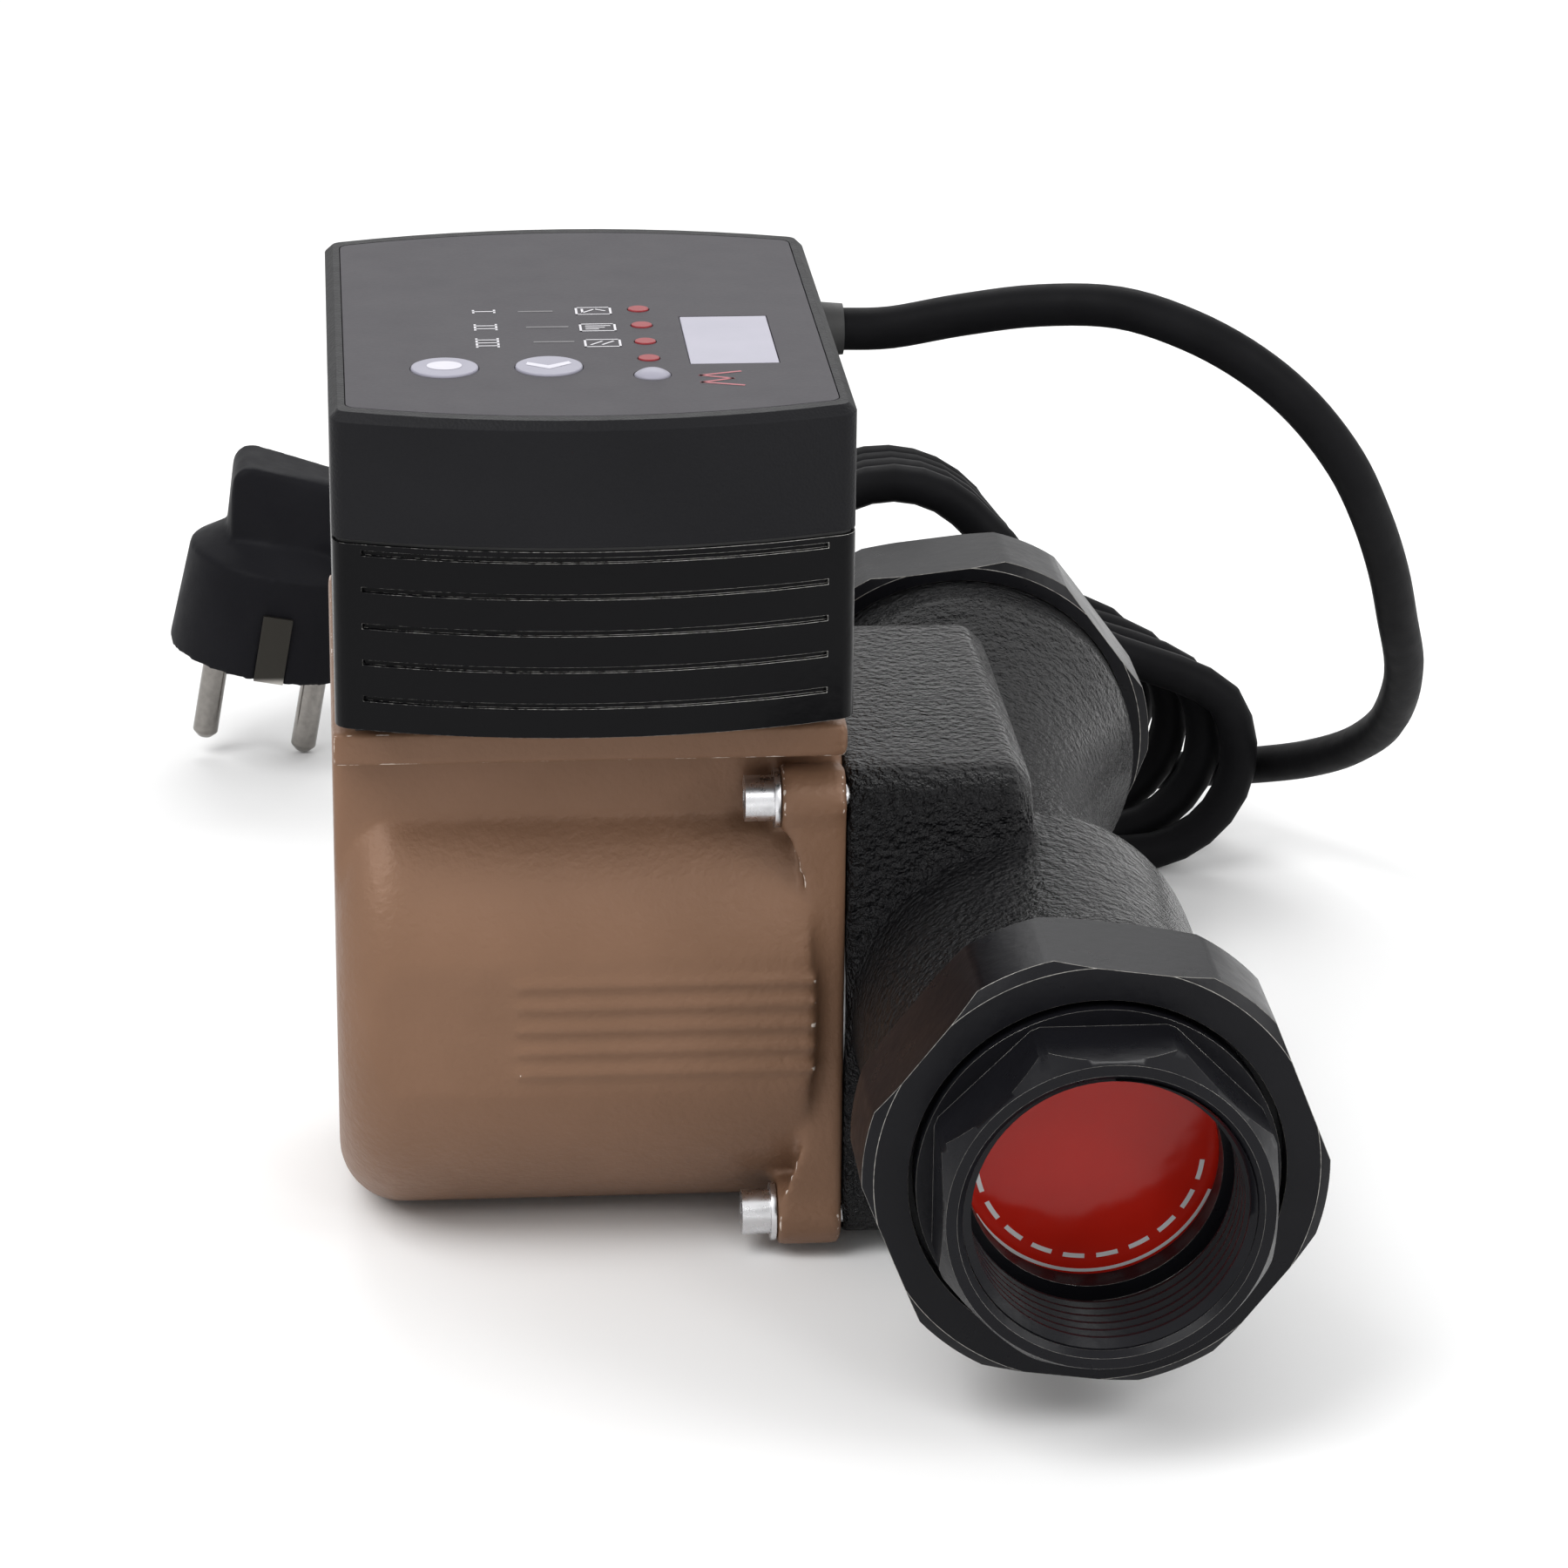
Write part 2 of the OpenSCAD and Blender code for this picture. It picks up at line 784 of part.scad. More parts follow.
module impeller() {
    shroud = impeller_gap + disc_t + blade_h;
    color([0.85, 0.82, 0.7]) {
        along_x(flange_x + impeller_gap) ring(impeller_r, shaft_r, disc_t);
        along_x(flange_x + impeller_gap) ring(hub_r, shaft_r, hub_l);
        along_x(flange_x + impeller_gap + disc_t) for (i = [0:blade_count - 1]) {
            rotate(360 * i / blade_count) blade();
        }
        along_x(flange_x + shroud) ring(impeller_r, eye_r, disc_t);
        along_x(flange_x + shroud) ring(wear_bore_r - run, eye_r, disc_t + eye_l);
    }
}

// Unions: everything is made for the outlet and turned over for the inlet
disc_y = port_y;
gasket_y = disc_y + disc_cover_t;
tail_y = gasket_y + gasket_t;
lip_y = tail_y + tail_flange_t + run;
nut_lip = 4;
nut_face_y = lip_y + nut_lip;
rim_y = nut_face_y + tail_reach;

module port_disc() {
    color([0.75, 0.08, 0.05]) along_y(disc_y) cylinder(r = disc_cover_r, h = disc_cover_t);
}

module gasket() {
    color([0.12, 0.12, 0.12]) along_y(gasket_y) ring(tail_flange_r, gasket_bore_r, gasket_t);
}

module tailpiece() {
    color([0.09, 0.09, 0.09]) difference() {
        union() {
            along_y(tail_y) cylinder(r = tail_flange_r, h = tail_flange_t);
            along_y(tail_y) cylinder(r = tail_collar_r, h = tail_flange_t + tail_collar_l);
            intersection() {
                along_y(tail_y) rotate(180 / 8) cylinder(d = tail_corners, h = rim_y - tail_y, $fn = 8);
                along_y(tail_y) rotate_extrude() polygon([
                    [0, 0], [tail_corners / 2 - tail_turned, 0],
                    [tail_corners / 2 - tail_turned, rim_y - tail_y - tail_cone_l],
                    [tail_rim_r, rim_y - tail_y], [0, rim_y - tail_y],
                ]);
            }
        }
        along_y(tail_y - over) cylinder(r = tail_step_r, h = rim_y - tail_y + 2 * over);
        along_y(rim_y - tail_thread_l) cylinder(d = tail_thread_d, h = tail_thread_l + over);
        along_y(rim_y - tail_mouth) {
            cylinder(d1 = tail_thread_d, d2 = tail_thread_d + 2 * tail_mouth, h = tail_mouth);
        }
    }
}

module nut_form(turn) {
    along_y(nut_face_y - nut_l) intersection() {
        rotate(turn) cylinder(d = nut_flats / cos(30), h = nut_l, $fn = 6);
        rotate_extrude() polygon([
            [0, 0], [nut_r - nut_chamfer, 0], [nut_r, nut_chamfer_l],
            [nut_r, nut_l - nut_chamfer_l], [nut_r - nut_chamfer, nut_l], [0, nut_l],
        ]);
    }
}

module union_nut(turn) {
    color([0.09, 0.09, 0.09]) difference() {
        nut_form(turn);
        along_y(nut_face_y - nut_l - over) cylinder(r = port_thread_d / 2 + run, h = nut_l - nut_lip + over);
        along_y(nut_face_y - nut_lip - over) cylinder(r = lip_r, h = nut_lip + 2 * over);
    }
}

module inlet_port_disc() { mirror([0, 1, 0]) port_disc(); }
module inlet_gasket() { mirror([0, 1, 0]) gasket(); }
module inlet_tailpiece() { mirror([0, 1, 0]) tailpiece(); }
module inlet_nut() { mirror([0, 1, 0]) union_nut(inlet_nut_turn); }
module outlet_port_disc() { port_disc(); }
module outlet_gasket() { gasket(); }
module outlet_tailpiece() { tailpiece(); }
module outlet_nut() { union_nut(outlet_nut_turn); }

// Box base
module deck_gasket() {
    color([0.1, 0.1, 0.1]) at_box([0, 0], deck_z) difference() {
        foot_slab(deck_gasket_t);
        translate([0, 0, -over]) on_corners(base_screw_x, base_screw_y) {
            cylinder(r = screw_r + loose, h = deck_gasket_t + 2 * over);
        }
        translate([stator_x - coil_l / 2 - box_x, 0, -over]) {
            cylinder(r = lead_hole_r, h = deck_gasket_t + 2 * over);
        }
    }
}

module foot_slab(h) {
    translate([-box_w / 2 + foot_inset, -foot_half, 0]) cube([box_w - 2 * foot_inset, 2 * foot_half, h]);
}

module fin_grooves() {
    for (i = [0:fin_count - 1]) translate([0, 0, fin_first + i * fin_pitch]) difference() {
        translate([-box_w / 2 + fin_side, -box_l, 0]) cube([box_w - 2 * fin_side, 2 * box_l, fin_h]);
        translate([0, 0, -over]) box_slab(fin_depth, fin_h + 2 * over);
    }
}

module box_base() {
    inside = joint_z - cover_seal_t - floor_z - floor_t;
    color([0.05, 0.05, 0.05]) difference() {
        union() {
            at_box([0, 0], foot_z) foot_slab(foot_h + floor_t);
            at_box([0, 0], floor_z) difference() {
                box_slab(0, joint_z - cover_seal_t - floor_z);
                translate([0, 0, floor_t]) box_slab(box_wall, inside + over);
                fin_grooves();
            }
            at_box([0, 0], floor_z) on_corners(post_x, post_y) {
                cylinder(r = post_r, h = joint_z - cover_seal_t - floor_z);
            }
        }
        at_box([0, 0], floor_z - over) on_corners(post_x, post_y) {
            cylinder(r = m3_r + loose, h = base_h + over);
            cylinder(r = m3_head_r + loose, h = m3_recess + over);
        }
        at_box([0, 0], foot_z - over) on_corners(base_screw_x, base_screw_y) {
            cylinder(r = screw_r + loose, h = foot_h + floor_t + 2 * over);
        }
        translate([stator_x - coil_l / 2, 0, foot_z - over]) {
            cylinder(r = lead_hole_r, h = foot_h + floor_t + 2 * over);
        }
    }
}

module base_screws() {
    bottom = floor_z + floor_t + base_screw_head_l - base_screw_l;
    color("silver") at_box([0, 0], 0) on_corners(base_screw_x, base_screw_y) {
        translate([0, 0, floor_z + floor_t]) cylinder(r = head_r, h = base_screw_head_l);
        translate([0, 0, bottom]) cylinder(r = screw_r, h = base_screw_l);
    }
}

// Inside the base
module terminal_block() {
    color("ivory") difference() {
        translate([stator_x - coil_l / 2 - block_size[0] / 2, -block_size[1] / 2, floor_z + floor_t]) {
            cube(block_size);
        }
        for (i = [-1:1]) {
            translate([
                stator_x - coil_l / 2,
                i * block_hole_pitch,
                floor_z + floor_t + block_size[2] - block_hole_l,
            ]) cylinder(r = block_hole_r, h = block_hole_l + over);
        }
    }
}

module capacitor() {
    at = [capacitor_at_share[0] * box_w, capacitor_at_share[1] * box_l];
    color("whitesmoke") at_box(at, floor_z + floor_t + capacitor_r) {
        rotate([90, 0, 0]) cylinder(r = capacitor_r, h = capacitor_l, center = true);
    }
}

module inductor() {
    at = [inductor_at_share[0] * box_w, inductor_at_share[1] * box_l];
    color("peru") at_box(at, floor_z + floor_t) ring(inductor_r, inductor_bore_r, inductor_h);
}

// Box cover
module cover_seal() {
    color([0.1, 0.1, 0.1]) at_box([0, 0], joint_z - cover_seal_t) difference() {
        box_slab(cover_seal_in, cover_seal_t);
        translate([0, 0, -over]) box_slab(cover_seal_in + cover_seal_w, cover_seal_t + 2 * over);
    }
}

module cover_shell() {
    difference() {
        hull() {
            box_slab(0, cover_h - cover_chamfer);
            box_slab(cover_chamfer, cover_h);
        }
        translate([0, 0, -over]) box_slab(box_wall, cover_h - cover_top_t + over);
        translate([0, 0, cover_h - recess_t]) {
            bowed_slab(panel_w + 2 * loose, panel_l + 2 * loose, panel_bow, panel_corner_r, recess_t + over);
        }
    }
}

module board_places() {
    for (a = [-1, 1]) {
        translate([a * board_post_x, -board_post_front, 0]) children();
        translate([a * board_post_x, board_post_back, 0]) children();
    }
}

module panel_holes(h) {
    for (at = [button_left, button_right]) translate(at) cylinder(r = button_r + run, h = h);
    for (i = [0:lamp_count - 1]) {
        translate([lamp_x, lamp_first_y + i * lamp_pitch, 0]) cylinder(r = lamp_r + loose, h = h);
    }
    translate(status_at) cylinder(r = status_r + loose, h = h);
    translate([window_at[0] - window_size[0] / 2 - loose, window_at[1] - window_size[1] / 2 - loose, 0]) {
        cube([window_size[0] + 2 * loose, window_size[1] + 2 * loose, h]);
    }
}

module box_cover() {
    color([0.16, 0.16, 0.17]) difference() {
        union() {
            at_box([0, 0], joint_z) cover_shell();
            at_box([0, 0], joint_z) on_corners(post_x, post_y) {
                cylinder(r = post_r, h = cover_h - cover_top_t);
            }
            at_box([0, 0], board_top) board_places() cylinder(r = board_post_r, h = board_drop);
        }
        at_box([0, 0], joint_z - over) on_corners(post_x, post_y) cylinder(r = m3_r, h = m3_reach + over);
        at_box([0, 0], board_top - over) board_places() cylinder(r = pilot_r, h = board_screw_in + over);
        at_box([0, 0], roof_z - over) panel_holes(cover_top_t + 2 * over);
        translate([box_x, gland_y, gland_z]) rotate([0, 90, 0]) cylinder(r = gland_r, h = box_w);
    }
}

module cover_screws() {
    bottom = floor_z + m3_recess - m3_head_l;
    color("silver") at_box([0, 0], bottom) on_corners(post_x, post_y) {
        cylinder(r = m3_head_r, h = m3_head_l);
        cylinder(r = m3_r, h = joint_z + m3_reach - bottom);
    }
}

module circuit_board() {
    color("darkgreen") at_box([0, 0], board_z) difference() {
        translate([-board_size[0] / 2, -board_size[1] / 2, 0]) cube([board_size[0], board_size[1], board_t]);
        translate([0, 0, -over]) board_places() cylinder(r = pilot_r + loose, h = board_t + 2 * over);
    }
}

module board_screws() {
    color("silver") at_box([0, 0], board_z) board_places() {
        translate([0, 0, -board_head_l]) cylinder(r = board_head_r, h = board_head_l);
        cylinder(r = pilot_r, h = board_t + board_screw_in);
    }
}

key_top = roof_z - key_gap - button_rim_t - stem_l - button_travel - key_gap;

module key_switches() {
    color("black") for (at = [button_left, button_right]) at_box(at, board_top) {
        translate([-key_size[0] / 2, -key_size[1] / 2, 0]) cube([key_size[0], key_size[1], key_top - board_top]);
    }
}

module display_module() {
    h = top_z - window_t - board_top;
    color("whitesmoke") at_box(window_at, board_top) {
        translate([-window_size[0] / 2, -window_size[1] / 2, 0]) cube([window_size[0], window_size[1], h]);
    }
}

module display_window() {
    color([0.8, 0.8, 0.84]) at_box(window_at, top_z - window_t) {
        translate([-window_size[0] / 2, -window_size[1] / 2, 0]) cube([window_size[0], window_size[1], window_t]);
    }
}

module red_lamps() {
    color([0.5, 0.1, 0.12]) for (i = [0:lamp_count - 1]) {
        at_box([lamp_x, lamp_first_y + i * lamp_pitch], board_top) {
            cylinder(r = lamp_r, h = top_z + lamp_out - board_top);
        }
    }
}

module status_lamp() {
    ball = (status_r * status_r + status_rise * status_rise) / (2 * status_rise);
    color([0.7, 0.68, 0.74]) at_box(status_at, board_top) {
        cylinder(r = status_r, h = top_z - board_top);
        intersection() {
            translate([0, 0, top_z - board_top + status_rise - ball]) sphere(r = ball);
            translate([0, 0, top_z - board_top - over]) cylinder(r = status_r, h = status_rise + 2 * over);
        }
    }
}

module front_panel() {
    color([0.38, 0.38, 0.4]) at_box([0, 0], top_z - recess_t) difference() {
        bowed_slab(panel_w, panel_l, panel_bow, panel_corner_r, recess_t);
        translate([0, 0, -over]) panel_holes(recess_t + 2 * over);
    }
}

module button(at) {
    rim_z = roof_z - key_gap - button_rim_t;
    color([0.68, 0.68, 0.74]) {
        at_box(at, rim_z) cylinder(r = button_rim_r, h = button_rim_t);
        at_box(at, rim_z) cylinder(r = button_r, h = top_z + button_out - rim_z);
        at_box(at, rim_z - stem_l) cylinder(r = stem_r, h = stem_l);
    }
}

module left_button() { button(button_left); }
module right_button() { button(button_right); }

// Cord gland and the three wires inside the box
module cord_gland() {
    color([0.1, 0.1, 0.1]) translate([wall_x, gland_y, gland_z]) rotate([0, 90, 0]) {
        translate([0, 0, -box_wall]) cylinder(r = gland_r, h = box_wall);
        translate([0, 0, -box_wall - gland_flange_t]) cylinder(r = gland_flange_r, h = gland_flange_t);
        cylinder(r1 = gland_r, r2 = gland_tip_r, h = gland_out);
    }
}

module supply_leads() {
    color("saddlebrown") for (i = [-1:1]) {
        start = [wall_x - box_wall - gland_flange_t, gland_y + i * wire_pitch, gland_z];
        end = [stator_x - coil_l / 2, i * block_hole_pitch, floor_z + floor_t + block_size[2] - block_hole_l];
        v = end - start;
        knee = [end[0], end[1], end[2] + block_hole_l + wire_pitch];
        w = knee - start;
        translate(start) rotate([0, acos(w[2] / norm(w)), atan2(w[1], w[0])]) {
            cylinder(r = wire_r, h = norm(w));
        }
        translate(end) cylinder(r = wire_r, h = norm(v - w) + wire_r);
    }
}

// Cord
function mix2(a, b, s) = a + (b - a) * s;

function hank_point(s) = let(
    turn = min(floor(s), hank_turns - 1),
    rough = turn / hank_turns,
    low0 = mix2(hank_low_rear, hank_low_front, rough),
    high0 = mix2(hank_high_rear, hank_high_front, rough),
    tilt0 = atan2(low0[0] - high0[0], high0[1] - low0[1]),
    run_l = norm(high0 - low0),
    turn_l = 2 * run_l + 2 * PI * hank_r,
    u = (s - turn) * turn_l,
    arc1 = hank_r * PI / 180 * tilt0,
    arc3 = hank_r * PI,
    climb = max(0, min(1, (u - arc1) / run_l)),
    shift = (turn + climb * climb * (3 - 2 * climb)) / hank_turns,
    low = mix2(hank_low_rear, hank_low_front, shift),
    high = mix2(hank_high_rear, hank_high_front, shift),
    tilt = atan2(low[0] - high[0], high[1] - low[1]),
    back = max(0, min(1, (u - arc1 - run_l - arc3) / run_l)),
    on_high = u > arc1 + run_l && u < arc1 + run_l + arc3,
    q = u < arc1 ? 0 : u < arc1 + run_l ? climb : on_high ? 1 : 1 - back,
    angle = u < arc1 ? -90 - u / hank_r * 180 / PI
        : u < arc1 + run_l ? -90 - tilt
        : on_high ? -90 - tilt - (u - arc1 - run_l) / hank_r * 180 / PI
        : back < 1 ? 90 - tilt
        : 90 - tilt - (u - arc1 - 2 * run_l - arc3) / hank_r * 180 / PI,
    r = hank_r - hank_dip * pow(sin(180 * q), 2),
    c = mix2(low, high, q)
) [c[0] + r * cos(angle), hank_front_y + hank_pitch * hank_turns * (1 - shift), c[1] + r * sin(angle)];

hank_start = [hank_low_rear[0], hank_front_y + hank_pitch * hank_turns, hank_low_rear[1] - hank_r];
hank_end = [hank_low_front[0], hank_front_y, hank_low_front[1] - hank_r];
hank_path = concat(
    [hank_start + [cord_d, 0, 0]],
    [for (i = [0:hank_turns * hank_rings]) hank_point(i / hank_rings)],
    [hank_end - [cord_d, 0, 0]]
);

// Least gap between two turns of the hank, measured on points of its centre line
hank_samples = [for (i = [0:hank_turns * hank_checks]) hank_point(i / hank_checks)];
hank_gap = min([
    for (i = [0:len(hank_samples) - 1], j = [i + hank_checks / 4:len(hank_samples) - 1])
    if (j < len(hank_samples)) norm(hank_samples[i] - hank_samples[j])
]) - cord_d;
echo(hank_least_gap = hank_gap);

lead_path = concat([lead_start], lead_route, [hank_start + [cord_d, 0, 0]]);

module cord_lead() {
    color([0.08, 0.08, 0.08]) tube(lead_path, [0, 0, 1], cord_d / 2, tube_sides);
}

module cord_hank() {
    color([0.08, 0.08, 0.08]) tube(hank_path, [0, 1, 0], cord_d / 2, hank_sides);
}

// Plug: made upright with its pins' tips at z = 0, then rolled onto one pin
module at_plug() {
    translate([plug_x, plug_y, plug_lift]) rotate([0, plug_roll, 0]) children();
}

function plug_place(p) = [
    plug_x + p[0] * cos(plug_roll) + p[2] * sin(plug_roll),
    plug_y + p[1],
    plug_lift - p[0] * sin(plug_roll) + p[2] * cos(plug_roll),
];

strain_z = pin_l + skirt_h + grip_rise;
tail_end = plug_place([grip_l + strain_l, 0, strain_z]);
tail_last = plug_place([grip_l + strain_l + cord_d, 0, strain_z]);
tail_path = concat([hank_end - [cord_d, 0, 0]], tail_route, [tail_last, tail_end]);

module cord_tail() {
    color([0.08, 0.08, 0.08]) tube(tail_path, [0, 0, 1], cord_d / 2, tube_sides);
}

module contact_slots() {
    for (a = [-1, 1]) translate([-contact_w / 2, a * skirt_r - contact_t, pin_l - over]) {
        cube([contact_w, 2 * contact_t, contact_h + contact_gap + over]);
    }
}

module plug_body() {
    color([0.1, 0.1, 0.1]) at_plug() {
        difference() {
            translate([0, 0, pin_l]) cylinder(r1 = skirt_r, r2 = skirt_top_r, h = skirt_h);
            contact_slots();
        }
        translate([0, 0, pin_l + skirt_h]) cylinder(r1 = skirt_top_r, r2 = shoulder_r, h = shoulder_h);
        hull() {
            translate([-grip_w, 0, pin_l + skirt_h]) rotate([90, 0, 0]) {
                cylinder(r = grip_round / 2, h = 2 * grip_half, center = true, $fn = 24);
            }
            translate([-grip_w, 0, pin_l + skirt_h + shoulder_h + grip_h - grip_round]) rotate([90, 0, 0]) {
                cylinder(r = grip_round, h = 2 * grip_half, center = true, $fn = 24);
            }
            translate([0, 0, pin_l + skirt_h]) cylinder(r = shoulder_r, h = shoulder_h, $fn = 32);
            translate([0, 0, strain_z]) rotate([0, 90, 0]) cylinder(r = grip_end_r, h = grip_l, $fn = 32);
        }
        translate([grip_l, 0, strain_z]) rotate([0, 90, 0]) {
            cylinder(r1 = grip_end_r, r2 = strain_r, h = strain_l);
        }
    }
}

module plug_pins() {
    color("silver") at_plug() for (a = [-1, 1]) translate([a * pin_pitch / 2, 0, 0]) {
        translate([0, 0, pin_tip]) cylinder(r = pin_r, h = pin_l - pin_tip);
        cylinder(r1 = pin_r - pin_tip, r2 = pin_r, h = pin_tip);
    }
}

module plug_earth_contacts() {
    color("silver") at_plug() for (a = [-1, 1]) {
        translate([-contact_w / 2 + loose, a * (skirt_r - contact_t / 2) - contact_t / 2, pin_l]) {
            cube([contact_w - 2 * loose, contact_t, contact_h]);
        }
    }
}

volute();
wear_ring();
housing_seal();
bearing_plate();
rotor_can();
front_bearing();
rear_bearing();
stator_core();
stator_windings();
motor_leads();
motor_housing();
flange_screws();
flange_washers();
vent_screw();
vent_seal();
rotor_shaft();
rotor_core();
rotor_sleeve();
thrust_ring();
impeller();
inlet_port_disc();
inlet_gasket();
inlet_tailpiece();
inlet_nut();
outlet_port_disc();
outlet_gasket();
outlet_tailpiece();
outlet_nut();
deck_gasket();
box_base();
base_screws();
terminal_block();
capacitor();
inductor();
cover_seal();
box_cover();
cover_screws();
circuit_board();
board_screws();
key_switches();
display_module();
display_window();
red_lamps();
status_lamp();
front_panel();
left_button();
right_button();
cord_gland();
supply_leads();
cord_lead();
cord_hank();
cord_tail();
plug_body();
plug_pins();
plug_earth_contacts();
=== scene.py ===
import math

import bmesh
import bpy
from mathutils import Matrix, Vector


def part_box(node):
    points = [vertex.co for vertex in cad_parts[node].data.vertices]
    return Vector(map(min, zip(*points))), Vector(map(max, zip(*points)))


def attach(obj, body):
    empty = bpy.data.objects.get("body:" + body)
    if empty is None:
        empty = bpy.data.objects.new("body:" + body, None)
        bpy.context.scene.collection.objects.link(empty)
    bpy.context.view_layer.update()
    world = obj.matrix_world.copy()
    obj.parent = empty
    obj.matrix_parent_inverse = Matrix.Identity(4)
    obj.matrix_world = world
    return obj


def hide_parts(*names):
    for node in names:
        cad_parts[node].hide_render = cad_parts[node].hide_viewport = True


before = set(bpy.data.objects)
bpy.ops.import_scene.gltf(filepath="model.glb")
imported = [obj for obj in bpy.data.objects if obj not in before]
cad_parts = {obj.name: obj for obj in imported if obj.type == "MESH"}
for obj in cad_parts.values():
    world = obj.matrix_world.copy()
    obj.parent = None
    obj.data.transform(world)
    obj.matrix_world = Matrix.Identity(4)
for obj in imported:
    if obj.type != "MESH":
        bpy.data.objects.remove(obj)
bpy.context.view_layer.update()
MM = 0.001

# Camera
# A long lens from the front, a little left of the inlet and looking down on the panel. Place,
# lens and turns come from a fit to the box, the flange, the motor's outline and the unions.
LENS_MM = 127.77
SENSOR_MM = 36
CAMERA_AT = Vector((-71.36, -816.72, 369.83)) * MM
PITCH = math.radians(20.42)
YAW = math.radians(5.0)
ROLL = math.radians(0.57)

look = Vector((math.sin(YAW) * math.cos(PITCH), math.cos(YAW) * math.cos(PITCH), -math.sin(PITCH)))
level = look.cross(Vector((0, 0, 1))).normalized()
upright = level.cross(look)
camera_right = level * math.cos(ROLL) + upright * math.sin(ROLL)
camera_up = upright * math.cos(ROLL) - level * math.sin(ROLL)
camera_data = bpy.data.cameras.new("camera")
camera_data.lens = LENS_MM
camera_data.sensor_width = SENSOR_MM
camera_data.clip_start = 0.01
camera = bpy.data.objects.new("camera", camera_data)
facing = Matrix((camera_right, camera_up, -look)).transposed().to_4x4()
camera.matrix_world = Matrix.Translation(CAMERA_AT) @ facing
bpy.context.collection.objects.link(camera)
bpy.context.scene.camera = camera

# Supply cord
# A round black rubber cord of 6.8 mm. It leaves the gland in the cover's right wall, arches over
# to the floor, lies folded in a hank of four loops behind the outlet and ends in its plug.
CORD_MM = 6.8
GLAND_END = (12.175, 39.5, 127.4)
LEAD_ROUTE = [
    (20, 39.3, 127.6), (31, 37.5, 130), (43, 33.5, 132.5), (55, 28, 133.5), (66, 25, 130.5),
    (76, 24, 125), (85, 26, 117), (93, 30, 106.5), (99, 37, 95), (104, 46, 83),
    (108, 56, 71), (112, 68, 59), (114, 81, 48), (114, 94, 38), (111, 107, 29.5),
    (106, 119, 23), (100, 130, 18), (93, 141, 13.5), (84, 149, 10), (74, 153.5, 8.5),
]
TAIL_ROUTE = [
    (56, 124, 3.6), (43, 124.3, 3.6), (31, 126.5, 3.6), (20.5, 131.5, 3.6), (12, 140, 4.1),
    (7, 151, 7), (5, 163, 13.5), (2.6, 175.5, 22.5), (-4.4, 186.6, 31), (-14.8, 193.8, 37.3),
]
HANK_TURNS = 4
HANK_TURN_STEPS = 48
HANK_R = 19
HANK_DIP = 6.5
HANK_PITCH = 7.6
HANK_FRONT_Y = 124
LOW_FRONT, LOW_REAR = Vector((75, 22.4)), Vector((54.2, 27.2))
HIGH_FRONT, HIGH_REAR = Vector((29.5, 56)), Vector((30.5, 51.5))
PLUG_AT = Vector((-85.5, 196, 2.1))
PLUG_ROLL = math.radians(10)
PLUG_CORD_X, PLUG_CORD_Z = 44, 48
LINE_STEPS = 5


def hank_point(s):
    """The point of the folded loops after s turns, in the order in which the cord was folded."""
    turn = min(int(s), HANK_TURNS - 1)
    low = LOW_REAR.lerp(LOW_FRONT, turn / HANK_TURNS)
    high = HIGH_REAR.lerp(HIGH_FRONT, turn / HANK_TURNS)
    tilt = math.atan2(low.x - high.x, high.y - low.y)
    run = (high - low).length
    along = (s - turn) * (2 * run + 2 * math.pi * HANK_R)
    first, half = HANK_R * tilt, HANK_R * math.pi
    climb = max(0, min(1, (along - first) / run))
    shift = (turn + climb * climb * (3 - 2 * climb)) / HANK_TURNS
    low, high = LOW_REAR.lerp(LOW_FRONT, shift), HIGH_REAR.lerp(HIGH_FRONT, shift)
    tilt = math.atan2(low.x - high.x, high.y - low.y)
    back = max(0, min(1, (along - first - run - half) / run))
    if along < first:
        share, angle = 0, -math.pi / 2 - along / HANK_R
    elif along < first + run:
        share, angle = climb, -math.pi / 2 - tilt
    elif along < first + run + half:
        share, angle = 1, -math.pi / 2 - tilt - (along - first - run) / HANK_R
    elif back < 1:
        share, angle = 1 - back, math.pi / 2 - tilt
    else:
        share, angle = 0, math.pi / 2 - tilt - (along - first - 2 * run - half) / HANK_R
    r = HANK_R - HANK_DIP * math.sin(math.pi * share) ** 2
    at = low.lerp(high, share)
    y = HANK_FRONT_Y + HANK_PITCH * HANK_TURNS * (1 - shift)
    return at.x + r * math.cos(angle), y, at.y + r * math.sin(angle)


def plug_place(x, y, z):
    """A point of the plug, given upright with its pins' tips at z = 0, where the plug lies."""
    return PLUG_AT + Matrix.Rotation(PLUG_ROLL, 3, "Y") @ Vector((x, y, z))


def through(points):
    """Points of a smooth line through the given points, with LINE_STEPS from each to the next."""
    p = [Vector(q) for q in points]
    line = []
    for i in range(len(p) - 1):
        a, b, c, d = p[max(i - 1, 0)], p[i], p[i + 1], p[min(i + 2, len(p) - 1)]
        for j in range(LINE_STEPS):
            t = j / LINE_STEPS
            line.append(b + (c - a) * (t / 2) + (a * 2 - b * 5 + c * 4 - d) * (t * t / 2)
                        + (b * 3 - a - c * 3 + d) * (t ** 3 / 2))
    return line + [p[-1]]


loops = [Vector(hank_point(i / HANK_TURN_STEPS)) for i in range(HANK_TURNS * HANK_TURN_STEPS + 1)]
straight = Vector((CORD_MM, 0, 0))
plug_end = [plug_place(x, 0, PLUG_CORD_Z) for x in (PLUG_CORD_X + CORD_MM, PLUG_CORD_X)]
lead = through([GLAND_END] + LEAD_ROUTE + [loops[0] + straight, loops[0]])
tail = through([loops[-1], loops[-1] - straight] + TAIL_ROUTE + plug_end)
cord_line = [p * MM for p in lead[:-1] + loops + tail[1:]]
cord_length = sum((b - a).length for a, b in zip(cord_line, cord_line[1:]))

